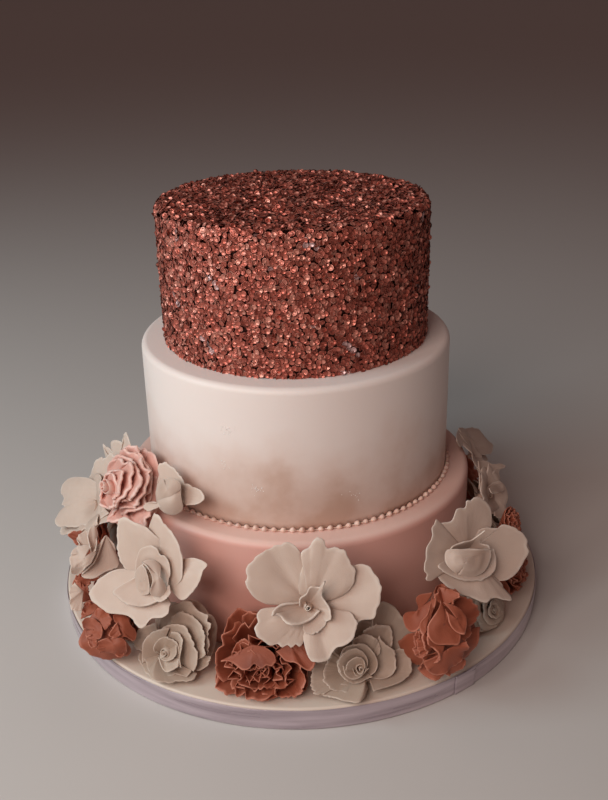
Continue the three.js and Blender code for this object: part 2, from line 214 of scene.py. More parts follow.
def turned(profile: Array, turns: Array, shift: Callable | None = None) -> Shell:
    """A profile carried once round the Z axis.

    A point at distance r and height z of the profile comes to (r cos t, r sin t, z) at turn t.
    A profile that ends on the axis is closed there by a fan, and any other is a closed loop.

    Args:
        profile: Points as (distance from the axis, height), in order up the outside.
        turns: Turns in radians, one full round without its end.
        shift: Takes turns and profile lengths, and gives what is added to the distances and
            to the heights.

    Returns:
        The closed surface.
    """
    count, around = len(profile), len(turns)
    lengths = np.concatenate([[0], np.cumsum(np.hypot(*np.diff(profile, axis=0).T))])
    r = np.repeat(profile[:, :1], around, 1)
    z = np.repeat(profile[:, 1:], around, 1)
    if shift is not None:
        outwards, upwards = shift(turns[None], lengths[:, None])
        r, z = r + outwards, z + upwards
    points = np.stack([r * np.cos(turns), r * np.sin(turns), z], -1).reshape(-1, 3)
    row, column = np.meshgrid(np.arange(count), np.arange(around), indexing="ij")
    here = row * around + column
    side = row * around + (column + 1) % around
    on_axis = abs(profile[0, 0]) < 1e-6 and abs(profile[-1, 0]) < 1e-6
    if not on_axis:
        above, above_side = np.roll(here, -1, 0), np.roll(side, -1, 0)
        return Shell(points, np.stack([here, side, above_side, above], -1).reshape(-1, 4))
    inner = slice(1, count - 2)
    quads = np.stack([here[inner], side[inner], side[2:-1], here[2:-1]], -1).reshape(-1, 4)
    foot, head = np.zeros(around, int), np.full(around, (count - 1) * around)
    low = np.stack([foot, side[1], here[1]], -1)
    high = np.stack([head, here[-2], side[-2]], -1)
    return Shell(points, quads, np.concatenate([low, high]))


def rounds(count: int) -> Array:
    """A full round in equal turns, in radians, without its end."""
    return np.arange(count) * 2 * np.pi / count


def leaf(grid: Array, thickness: Array, marks: dict[str, Array]) -> Shell:
    """A thin closed shell on a grid of points, with a rounded rim.

    Its faces lie half the thickness to either side of the grid, along the grid's normals, and
    a line pushed out by as much again runs round the edge between them.

    Args:
        grid: Points as (rows, columns, 3). The face looks along (rows) x (columns).
        thickness: Millimetres, one number for each point of the grid.
        marks: Named numbers, one for each point of the grid.

    Returns:
        The shell: its face, its back, then its rim.
    """
    rows, columns = grid.shape[:2]
    along, across = np.gradient(grid, axis=0), np.gradient(grid, axis=1)
    offset = unit_rows(np.cross(along, across)) * thickness[..., None] / 2
    index = np.arange(rows * columns).reshape(rows, columns)
    edge = np.concatenate([index[0, :-1], index[:-1, -1], index[-1, :0:-1], index[:0:-1, 0]])
    outwards = np.zeros_like(grid)
    outwards[0] -= unit_rows(along)[0]
    outwards[-1] += unit_rows(along)[-1]
    outwards[:, 0] -= unit_rows(across)[:, 0]
    outwards[:, -1] += unit_rows(across)[:, -1]
    push = unit_rows(outwards) * thickness[..., None] / 2
    rim = (grid + push).reshape(-1, 3)[edge]
    total = rows * columns
    points = np.concatenate([(grid + offset).reshape(-1, 3), (grid - offset).reshape(-1, 3), rim])
    a, b, c, d = index[:-1, :-1], index[1:, :-1], index[1:, 1:], index[:-1, 1:]
    face = np.stack([a, b, c, d], -1).reshape(-1, 4)
    middle = 2 * total + np.arange(len(edge))
    after, middle_after = np.roll(edge, -1), np.roll(middle, -1)
    front = np.stack([edge, after, middle_after, middle], -1)
    back = np.stack([after + total, edge + total, middle, middle_after], -1)
    quads = np.concatenate([face, face[:, ::-1] + total, front, back])
    flat = {name: m.ravel() for name, m in marks.items()}
    spread = {name: np.concatenate([m, m, m[edge]]) for name, m in flat.items()}
    return Shell(points, quads, marks=spread)


# ---- Node trees ----------------------------------------------------------------------


class Tree:
    """A node tree that is filled node by node."""

    def __init__(self, tree: bpy.types.NodeTree) -> None:
        """Starts from an empty tree."""
        self.tree = tree
        tree.nodes.clear()

    def add(self, kind: str, inputs: dict | None = None, **settings) -> bpy.types.Node:
        """Adds one node.

        Args:
            kind: The node's type.
            inputs: For each input's name or number, a number or a socket to link.
            **settings: The node's own settings.

        Returns:
            The node.
        """
        node = self.tree.nodes.new(kind)
        for name, value in settings.items():
            setattr(node, name, value)
        for key, value in (inputs or {}).items():
            if isinstance(value, bpy.types.NodeSocket):
                self.tree.links.new(value, node.inputs[key])
            else:
                node.inputs[key].default_value = value
        return node

    def math(self, operation: str, first: Value, second: Value = 0.0) -> bpy.types.NodeSocket:
        """One operation, given by its name, on one or two numbers."""
        return self.add("ShaderNodeMath", {0: first, 1: second}, operation=operation).outputs[0]

    def scaled(self, value: Value, factor: float, added: Value) -> bpy.types.NodeSocket:
        """A value times a factor, with something added."""
        return self.math("ADD", self.math("MULTIPLY", value, factor), added)

    def span(self, value: Value, low: float, high: float) -> bpy.types.NodeSocket:
        """The smooth share of the way that a value has gone.

        Args:
            value: The value.
            low: Where the share is zero.
            high: Where it is one.

        Returns:
            The share, from 0 to 1.
        """
        inputs = {"Value": value, "From Min": low, "From Max": high}
        node = self.add("ShaderNodeMapRange", inputs, interpolation_type="SMOOTHSTEP")
        return node.outputs["Result"]

    def mix(self, share: Value, first: Value, second: Value) -> bpy.types.NodeSocket:
        """The colour that share of the way from the first to the second."""
        inputs = {0: share, 6: first, 7: second}
        return self.add("ShaderNodeMix", inputs, data_type="RGBA").outputs[2]

    def noise(self, place: Value, scale: Value, detail: float) -> bpy.types.NodeSocket:
        """Cloudy noise about a half, with this many features to a unit of place."""
        inputs = {"Vector": place, "Scale": scale, "Detail": detail}
        return self.add("ShaderNodeTexNoise", inputs).outputs["Fac"]

    def mark(self, name: str) -> bpy.types.NodeSocket:
        """The number that a mesh holds at each of its vertices under a name."""
        return self.add("ShaderNodeAttribute", attribute_name=name).outputs["Fac"]

    def bump(self, height: Value, depth: float) -> bpy.types.NodeSocket:
        """The normal over a height from 0 to 1 that stands for depth in millimetres."""
        inputs = {"Height": height, "Distance": depth * MM, "Strength": 1.0}
        return self.add("ShaderNodeBump", inputs).outputs["Normal"]


def paste_grain() -> bpy.types.NodeTree:
    """The unevenness of worked sugar paste, as a group.

    Returns:
        A group with a place in, and out a slow mottle and a fine grain, both from 0 to 1.
    """
    name = "paste_grain"
    if name in bpy.data.node_groups:
        return bpy.data.node_groups[name]
    group = bpy.data.node_groups.new(name, "ShaderNodeTree")
    given = {"Place": "Vector", "Mottle Scale": "Float", "Grain Scale": "Float"}
    for socket, kind in given.items():
        group.interface.new_socket(socket, in_out="INPUT", socket_type=f"NodeSocket{kind}")
    for socket in ("Mottle", "Grain"):
        group.interface.new_socket(socket, in_out="OUTPUT", socket_type="NodeSocketFloat")
    tree = Tree(group)
    inputs = tree.add("NodeGroupInput").outputs
    slow = tree.noise(inputs["Place"], inputs["Mottle Scale"], 4.0)
    quick = tree.noise(inputs["Place"], inputs["Grain Scale"], 2.0)
    tree.add("NodeGroupOutput", {"Mottle": tree.span(slow, 0.3, 0.7), "Grain": quick})
    return group


# ---- Finishes ------------------------------------------------------------------------


@dataclass(frozen=True)
class Finish:
    """What a piece is made of.

    Attributes:
        name: The material's name.
        slot: A material slot's name; it is not used.
    """

    name: str
    slot: str

    def material(self) -> bpy.types.Material:
        """The finish's material, made once.

        Returns:
            The material that every piece with this finish shares.
        """
        if self.name in bpy.data.materials:
            return bpy.data.materials[self.name]
        material = bpy.data.materials.new(self.name)
        material.use_nodes = True
        tree = Tree(material.node_tree)
        shader = tree.add("ShaderNodeBsdfPrincipled", self.inputs(tree))
        tree.add("ShaderNodeOutputMaterial", {"Surface": shader.outputs["BSDF"]})
        return material

    def inputs(self, tree: Tree) -> Inputs:
        """The shader's inputs by name, for those that the finish sets. Each finish has its own."""
        raise NotImplementedError

    def grain(self, tree: Tree, mottle: float, grain: float) -> dict[str, bpy.types.NodeSocket]:
        """The paste grain group, placed on Object coordinates.

        Args:
            tree: The material's tree.
            mottle: Mottle features to a metre.
            grain: Grain features to a metre.

        Returns:
            The group's outputs by name, and the coordinates under "Place".
        """
        place = tree.add("ShaderNodeTexCoord").outputs["Object"]
        inputs = {"Place": place, "Mottle Scale": mottle, "Grain Scale": grain}
        outputs = tree.add("ShaderNodeGroup", inputs, node_tree=paste_grain()).outputs
        return {"Mottle": outputs["Mottle"], "Grain": outputs["Grain"], "Place": place}

    def soft(self, weight: float, radius: Colour, scale: float, shine: float) -> Inputs:
        """How far light goes into a paste, and how it shines.

        Args:
            weight: How much of the light goes in.
            radius: How far red, green and blue go, in shares of the scale.
            scale: That distance in metres.
            shine: How strong its shine is.

        Returns:
            Those four inputs of the shader.
        """
        return {
            "Subsurface Weight": weight, "Subsurface Radius": radius,
            "Subsurface Scale": scale, "Specular IOR Level": shine,
        }


@dataclass(frozen=True)
class PetalPaste(Finish):
    """Thin dry flower paste, veined along the petal, with painted shade towards the flower's middle
    and a painted highlight on its thin rim.

    Attributes:
        body: The petal's own colour.
        deep_tint_and_shade: The colour towards the flower's middle: painted shade there, with a
            deeper tint of the paste.
        rim: The colour of its thin edge: a painted highlight, with the paste's own paler colour
            there.
    """

    body: Colour
    deep_tint_and_shade: Colour
    rim: Colour

    def inputs(self, tree: Tree) -> Inputs:
        """Colour by painted shade towards the flower's middle, a painted highlight on the rim and
        each petal's tone, and bump from veins and grain.

        Args:
            tree: The material's tree.

        Returns:
            The shader's inputs.
        """
        grain = self.grain(tree, 110.0, 1500.0)
        petal = tree.add("ShaderNodeUVMap", uv_map="petal").outputs["UV"]
        streak = tree.add("ShaderNodeMapping", {"Vector": petal, "Scale": (15.0, 1.6, 1.0)})
        vein = tree.noise(streak.outputs["Vector"], 1.0, 2.0)
        tone = tree.scaled(grain["Mottle"], 0.5, tree.mark("tone"))
        shade = tree.mix(tree.math("MULTIPLY", tone, 0.22), self.body, self.deep_tint_and_shade)
        # Painted shade, with a deeper tint, towards the flower's middle.
        shade = tree.mix(tree.math("MULTIPLY", tree.mark("throat"), 0.85), shade, self.deep_tint_and_shade)
        # A painted highlight along the thin rim, with the paste's own paler colour there.
        edge = tree.math("MULTIPLY", tree.mark("rim"), tree.math("ADD", grain["Mottle"], 0.35))
        return {
            "Base Color": tree.mix(tree.math("MULTIPLY", edge, 0.7), shade, self.rim),
            "Roughness": tree.scaled(grain["Mottle"], 0.14, 0.5),
            "Normal": tree.bump(tree.scaled(vein, 1.6, grain["Grain"]), 0.08),
            **self.soft(0.12, (1.0, 0.7, 0.5), 0.002, 0.35),
        }


@dataclass(frozen=True)
class RolledIcing(Finish):
    """Rolled icing smoothed by hand, shaded by an airbrush from its foot to its top.

    Attributes:
        low: The colour at the foot.
        high: The colour at the top of the side.
        crown: The colour of the top face.
        foot: Height of the foot, in millimetres.
        top: Height of the top face.
    """

    low: Colour
    high: Colour
    crown: Colour
    foot: float
    top: float

    def inputs(self, tree: Tree) -> Inputs:
        """Colour by height with a drifting edge, a faint orange-peel bump over slow waves.

        Args:
            tree: The material's tree.

        Returns:
            The shader's inputs.
        """
        grain = self.grain(tree, 22.0, 1100.0)
        height = tree.add("ShaderNodeSeparateXYZ", {0: grain["Place"]}).outputs["Z"]
        drift = tree.math("MULTIPLY", tree.math("SUBTRACT", grain["Mottle"], 0.5), 14 * MM)
        level = tree.span(tree.math("ADD", height, drift), self.foot * MM, (self.top - 8) * MM)
        side = tree.mix(level, self.low, self.high)
        onto = tree.span(height, (self.top - 3.5) * MM, (self.top - 0.2) * MM)
        shade = tree.mix(onto, side, self.crown)
        cloud = tree.noise(grain["Place"], 12.0, 4.0)
        speckle = tree.math("MULTIPLY", tree.span(cloud, 0.35, 0.75), 0.18)
        peel = tree.scaled(grain["Mottle"], 1.2, grain["Grain"])
        return {
            "Base Color": tree.mix(speckle, shade, self.crown),
            "Roughness": tree.scaled(cloud, 0.16, 0.38), "Normal": tree.bump(peel, 0.05),
            **self.soft(0.08, (1.0, 0.6, 0.45), 0.003, 0.4),
        }


@dataclass(frozen=True)
class WashedIcing(Finish):
    """Ivory icing with a cloudy dust wash brushed up from the foot.

    Attributes:
        body: The icing's own colour.
        veil: The faint outer part of the wash.
        wash: The full wash.
        foot: Height of the foot, in millimetres.
    """

    body: Colour
    veil: Colour
    wash: Colour
    foot: float

    def inputs(self, tree: Tree) -> Inputs:
        """Two masks by height, their edges torn by noise, one inside the other.

        Args:
            tree: The material's tree.

        Returns:
            The shader's inputs.
        """
        grain = self.grain(tree, 26.0, 1100.0)
        place = grain["Place"]
        height = tree.add("ShaderNodeSeparateXYZ", {0: place}).outputs["Z"]
        above = tree.math("SUBTRACT", height, self.foot * MM)
        torn = tree.math("MULTIPLY", tree.noise(place, 48.0, 5.0), 0.03)
        push = tree.scaled(tree.noise(place, 14.0, 6.0), 0.135, torn)
        level = tree.math("SUBTRACT", push, above)
        veil = tree.math("MULTIPLY", tree.span(level, 0.008, 0.062), 0.75)
        patch = tree.span(tree.noise(place, 30.0, 6.0), 0.38, 0.62)
        wash = tree.span(level, 0.040, 0.078)
        strength = tree.math("MULTIPLY", wash, tree.scaled(patch, 0.5, 0.45))
        damp = tree.math("MULTIPLY", strength, 0.08)
        peel = tree.scaled(grain["Mottle"], 1.2, grain["Grain"])
        return {
            "Base Color": tree.mix(strength, tree.mix(veil, self.body, self.veil), self.wash),
            "Roughness": tree.math("SUBTRACT", 0.46, damp), "Normal": tree.bump(peel, 0.05),
            **self.soft(0.08, (1.0, 0.7, 0.55), 0.003, 0.4),
        }


@dataclass(frozen=True)
class PipedIcing(Finish):
    """Soft royal icing, a little uneven in colour.

    Attributes:
        body: Its colour.
        shadow: Its colour where it is thin or dusted.
    """

    body: Colour
    shadow: Colour

    def inputs(self, tree: Tree) -> Inputs:
        """A slow mottle between two colours, and a faint grain.

        Args:
            tree: The material's tree.

        Returns:
            The shader's inputs.
        """
        grain = self.grain(tree, 160.0, 2200.0)
        return {
            "Base Color": tree.mix(grain["Mottle"], self.body, self.shadow),
            "Roughness": tree.scaled(grain["Mottle"], 0.12, 0.4),
            "Normal": tree.bump(grain["Grain"], 0.05),
            **self.soft(0.1, (1.0, 0.2, 0.1), 0.002, 0.45),
        }


LUSTRE_TONE = 1.3  # the tone of a sequin with the lilac shine; others stay below one


@dataclass(frozen=True)
class SequinGlaze(Finish):
    """Pressed sugar sequins with a lustre glaze.

    Attributes:
        dark_and_edge_shade: The darkest sequins, and the painted shade at each sequin's edge and
            underside and on the core between them.
        body: Most of them.
        bright: The palest.
        lustre: A few with a lilac shine.
        metal: How metallic the glaze looks.
    """

    dark_and_edge_shade: Colour
    body: Colour
    bright: Colour
    lustre: Colour
    metal: float

    def inputs(self, tree: Tree) -> Inputs:
        """Each sequin's own tone, from its mark, painted shade towards its edge and a fine pressed
        grain.

        Args:
            tree: The material's tree.

        Returns:
            The shader's inputs.
        """
        grain = self.grain(tree, 260.0, 2600.0)
        tone = tree.mark("tone")
        shade = tree.mix(tree.span(tone, 0.0, 0.5), self.dark_and_edge_shade, self.body)
        shade = tree.mix(tree.span(tone, 0.5, 1.0), shade, self.bright)
        shade = tree.mix(tree.span(tone, 1.05, LUSTRE_TONE), shade, self.lustre)
        # The edge mark paints shade towards each sequin's edge and underside, and over the whole
        # core between the sequins.
        edge = tree.math("MULTIPLY", tree.mark("edge"), 0.95)
        return {
            "Base Color": tree.mix(edge, shade, self.dark_and_edge_shade), "Metallic": self.metal,
            "Roughness": tree.scaled(grain["Mottle"], 0.16, 0.27),
            "Normal": tree.bump(grain["Grain"], 0.03),
        }


@dataclass(frozen=True)
class SatinWeave(Finish):
    """Satin ribbon: fine threads along its length and a broken lustre.

    Attributes:
        body: The ribbon's colour.
        glow: Its colour where the threads catch the light.
    """

    body: Colour
    glow: Colour

    def inputs(self, tree: Tree) -> Inputs:
        """Threads from the UV map, which runs along and across the ribbon in millimetres.

        Args:
            tree: The material's tree.

        Returns:
            The shader's inputs.
        """
        grain = self.grain(tree, 70.0, 900.0)
        cloth = tree.add("ShaderNodeUVMap", uv_map="petal").outputs["UV"]
        thread, watered = (
            tree.add("ShaderNodeMapping", {"Vector": cloth, "Scale": scale}).outputs["Vector"]
            for scale in ((0.05, 4.0, 1.0), (0.012, 0.16, 1.0))
        )
        sheen = tree.span(tree.noise(watered, 1.0, 3.0), 0.15, 0.85)
        height = tree.scaled(grain["Mottle"], 0.6, tree.noise(thread, 1.0, 2.0))
        return {
            "Base Color": tree.mix(sheen, self.body, self.glow), "Metallic": 0.35,
            "Roughness": tree.scaled(sheen, 0.12, 0.24), "Normal": tree.bump(height, 0.07),
            "Sheen Weight": 0.3, "Sheen Roughness": 0.4,
        }


@dataclass(frozen=True)
class BoardFoil(Finish):
    """Embossed foil paper round a cake drum.

    Attributes:
        body: The foil's colour.
        crease: Its colour in the embossing.
    """

    body: Colour
    crease: Colour

    def inputs(self, tree: Tree) -> Inputs:
        """Small pressed cells, as embossed foil has.

        Args:
            tree: The material's tree.

        Returns:
            The shader's inputs.
        """
        grain = self.grain(tree, 40.0, 800.0)
        cells = tree.add("ShaderNodeTexVoronoi", {"Vector": grain["Place"], "Scale": 420.0})
        press = tree.span(cells.outputs["Distance"], 0.1, 0.6)
        return {
            "Base Color": tree.mix(press, self.body, self.crease), "Metallic": 0.85,
            "Roughness": tree.scaled(grain["Mottle"], 0.1, 0.28),
            "Normal": tree.bump(press, 0.12),
        }


@dataclass(frozen=True)
class StudioPaper(Finish):
    """The plain pale paper that the cake stands on.

    Attributes:
        body: Its colour.
    """

    body: Colour

    def inputs(self, tree: Tree) -> Inputs:
        """A plain matt colour with a trace of unevenness."""
        grain = self.grain(tree, 3.0, 200.0)
        return {"Base Color": self.body, "Roughness": tree.scaled(grain["Mottle"], 0.05, 0.8)}


# ---- Measures from the frame ---------------------------------------------------------


@dataclass(frozen=True)
class Disc:
    """A round layer as the frame has it, in millimetres.

    Attributes:
        radius: Its radius.
        foot: Height of its underside.
        top: Height of its top.
    """

    radius: float
    foot: float
    top: float

    @classmethod
    def of(cls, node: str) -> Disc:
        """The disc that fills a node's box."""
        low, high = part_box(node)
        return cls(high.x / MM, low.z / MM, high.z / MM)


DRUM = Disc.of("drum")
ICING = Disc.of("board_icing")
LOW = Disc.of("low_tier")
MIDDLE = Disc.of("middle_tier")
TOP = Disc.of("top_tier")
BAND = Disc.of("ribbon")

BEAD_RADIUS = 1.55  # of the piped beads at the middle tier's foot
FINE_ROUND = 288  # facets round a tier


def rounded_profile(disc: Disc, rim: float, sink: float, rows: int = 14) -> Array:
    """Half the section of a rounded disc, from the axis below to the axis above.

    The rim is a quarter circle.

    Args:
        disc: The layer's sizes.
        rim: The radius of its upper edge.
        sink: How far its foot reaches down to meet what it stands on.
        rows: Points up its side, round its rim and along its top, each.

    Returns:
        Points as (distance from the axis, height).
    """
    foot = disc.foot - sink
    share = np.linspace(0, 1, rows)
    quarter = np.linspace(0, np.pi / 2, rows)[1:-1]
    side = np.stack([np.full(rows, disc.radius), foot + share * (disc.top - rim - foot)], 1)
    bend = np.stack(
        [disc.radius - rim + rim * np.cos(quarter), disc.top - rim + rim * np.sin(quarter)], 1
    )
    lid = np.stack([(disc.radius - rim) * (1 - share), np.full(rows, disc.top)], 1)
    return np.concatenate([[[0, foot]], side, bend, lid])


# ---- Board ---------------------------------------------------------------------------


@dataclass
class Board:
    """The cake drum, the sheet of icing on it and the ribbon round its edge.

    Attributes:
        edge: Radius of the drum's own edge.
        icing_rim: Radius of the icing's rounded edge.
        dent: How uneven the icing's top is.
        buckle: How far the ribbon stands off in places.
        ribbon_thick: The ribbon's thickness.
        lap_turn: Where the ribbon's end lies, in degrees.
        lap_length: How far its end laps over its start.
        lap_lift: How much farther out the end lies.
        once: Degrees that the ribbon covers before the lap.
        corner: How far the end's upper corner lifts.
    """

    edge: float = 0.6
    icing_rim: float = 1.9
    dent: float = 0.22
    buckle: float = 0.22
    ribbon_thick: float = 0.45
    lap_turn: float = -54.0
    lap_length: float = 17.0
    lap_lift: float = 0.75
    once: float = 359.4
    corner: float = 1.3

    def build(self) -> None:
        """Makes the drum, its icing and the ribbon."""
        self.drum()
        self.icing()
        self.ribbon()

    def drum(self) -> None:
        """The drum, a disc with a small rounded edge."""
        shell = turned(rounded_profile(DRUM, self.edge, 0.0, 6), rounds(FINE_ROUND))
        foil = BoardFoil("foil_embossed", "board_foil", paint(206, 205, 204), paint(170, 169, 168))
        dress(make_object("board_drum", shell), foil, ["drum"])

    def icing(self) -> None:
        """The icing sheet, whose top swells by a few tenths of a millimetre."""
        rng = np.random.default_rng(5)
        profile = rounded_profile(ICING, self.icing_rim, ICING.foot - DRUM.top, 16)

        def shift(turns: Array, lengths: Array) -> tuple[Array, Array]:
            """Slow swells: outwards on the side, upwards on the top.

            Args:
                turns: Turns round the board, in radians.
                lengths: Lengths along the section.

            Returns:
                What is added to the distances, and to the heights.
            """
            uneven = self.dent * swell(turns, lengths, rng, 7)
            on_top = smoothstep(ICING.radius + 1, ICING.radius + 12, lengths)
            on_top = on_top * (1 - smoothstep(ICING.radius * 1.9, ICING.radius * 1.98, lengths))
            on_side = smoothstep(ICING.radius - 1, ICING.radius, lengths) - on_top
            return 0.5 * uneven * np.clip(on_side, 0, 1), uneven * on_top

        finish = RolledIcing(
            "icing_board", "board_icing", paint(214, 198, 182), paint(222, 206, 190),
            paint(224, 208, 194), ICING.foot, ICING.top,
        )
        shell = turned(profile, rounds(FINE_ROUND), shift)
        dress(make_object("board_sheet", shell), finish, ["board_icing"])

    def strip(self, first: float, last: float, inner: float, steps: int, loose: float) -> Shell:
        """A length of ribbon round the board.

        The point a share h up the ribbon at turn t lies at the inner radius plus half a
        thickness, pushed out by the buckle there, with soft edges.

        Args:
            first: Turn where it starts, in degrees.
            last: Turn where it ends.
            inner: Radius of its inner face.
            steps: Facets along it.
            loose: How far its end's upper corner lifts.

        Returns:
            The closed strip.
        """
        rng = np.random.default_rng(12)
        turns = np.radians(np.linspace(first, last, steps + 1))[None]
        share = np.linspace(0, 1, 11)[:, None]
        lean = swell(turns, 40 * share, rng, 9) + 0.5 * np.sin(23 * turns + 5 * share)
        r = inner + self.ribbon_thick / 2 + self.buckle * (0.9 + lean) * (0.25 + share)
        lift = loose * share**2 * smoothstep(math.radians(last) - 0.05, math.radians(last), turns)
        z = BAND.foot + share * (BAND.top - BAND.foot - 0.4) + lift + 0.12 * np.sin(9 * turns)
        r = r + 0.6 * lift
        turns = np.broadcast_to(turns, r.shape)
        grid = np.stack([r * np.cos(turns), r * np.sin(turns), z], -1)
        marks = {"across": inner * turns + 0 * r, "along": z}
        return leaf(grid, np.full(r.shape, self.ribbon_thick), marks)

    def ribbon(self) -> None:
        """The ribbon once round the board, and its end lapped over its start."""
        satin = SatinWeave(
            "satin_silver_lilac", "satin_ribbon", paint(150, 135, 143), paint(216, 202, 210)
        )
        once = self.strip(self.lap_turn - self.once, self.lap_turn, DRUM.radius, 480, 0.0)
        dress(make_object("ribbon_band", once), satin, ["ribbon"])
        half = math.degrees(self.lap_length / BAND.radius) / 2
        first, last = self.lap_turn - half, self.lap_turn + half
        lap = self.strip(first, last, DRUM.radius + self.lap_lift, 16, self.corner)
        dress(make_object("ribbon_lap", lap), satin, [])


# ---- Tiers ---------------------------------------------------------------------------


@dataclass
class SmoothTier:
    """A round tier under rolled icing.

    Attributes:
        node: The frame's node that it replaces.
        disc: Its sizes.
        rim: Radius of its upper edge.
        wobble: How far its side strays from round.
        finish: Its icing.
    """

    node: str
    disc: Disc
    rim: float
    wobble: float
    finish: Finish

    def build(self, below: float, seed: int) -> None:
        """Makes the tier.

        Args:
            below: Height of what it stands on.
            seed: Seeds its unevenness.
        """
        rng = np.random.default_rng(seed)
        profile = rounded_profile(self.disc, self.rim, self.disc.foot - below, 18)
        start = self.disc.radius
        end = start + self.disc.top - below

        def shift(turns: Array, lengths: Array) -> tuple[Array, Array]:
            """The side swells in and out by the wobble, and the top crowns a little.

            Args:
                turns: Turns round the tier, in radians.
                lengths: Lengths along the section.

            Returns:
                What is added to the distances, and to the heights.
            """
            uneven = self.wobble * swell(turns, lengths, rng, 6)
            on_side = smoothstep(start - 1, start, lengths)
            on_side = on_side * (1 - smoothstep(end - 9, end, lengths))
            crown = 0.5 * self.wobble * smoothstep(end + 4, end + 0.7 * start, lengths)
            return uneven * on_side, crown + 0 * turns

        shell = turned(profile, rounds(FINE_ROUND), shift)
        dress(make_object(f"{self.node}_icing", shell), self.finish, [self.node])


@dataclass
class SnailTrail:
    """The piped border at the middle tier's foot: beads that each narrow to a tail.

    Attributes:
        pitch: From one bead to the next.
        tail: Radius of the tail, as a share of the bead's.
    """

    pitch: float = 6.1
    tail: float = 0.34

    def build(self) -> None:
        """Makes the border.

        The section is a circle whose radius falls from a full bead to a tail along each
        pitch, and it rests in the corner between the tier's side and the ledge.
        """
        rng = np.random.default_rng(8)
        stations, sides = 14, 12
        ring = MIDDLE.radius + BEAD_RADIUS
        beads = round(2 * np.pi * ring / self.pitch)
        share = np.tile(np.arange(stations) / stations, beads)
        size = np.repeat(1 + 0.12 * rng.uniform(-1, 1, beads), stations)
        hop = np.repeat(0.2 * rng.uniform(-1, 1, beads), stations)
        dome = np.sqrt(np.clip(1 - ((share - 0.3) / 0.34) ** 2, 0, 1))
        taper = self.tail * (1 - 0.35 * share)
        radius = BEAD_RADIUS * size * np.maximum(dome, taper)
        sunk = BEAD_RADIUS - radius
        turns = rounds(beads * stations)[:, None]
        around = rounds(sides)[None]
        r = (ring - 0.7 * sunk + hop)[:, None] + radius[:, None] * np.cos(around)
        z = (LOW.top + BEAD_RADIUS - 0.8 * sunk)[:, None] + radius[:, None] * np.sin(around)
        points = np.stack([r * np.cos(turns), r * np.sin(turns), z], -1).reshape(-1, 3)
        index = np.arange(len(points)).reshape(-1, sides)
        after, up = np.roll(index, -1, 0), np.roll(index, -1, 1)
        both = np.roll(after, -1, 1)
        shell = Shell(points, np.stack([index, after, both, up], -1).reshape(-1, 4))
        piped = PipedIcing("icing_piped", "piped_icing", paint(240, 212, 198), paint(222, 184, 168))
        dress(make_object("snail_trail_beads", shell), piped, ["snail_trail"])


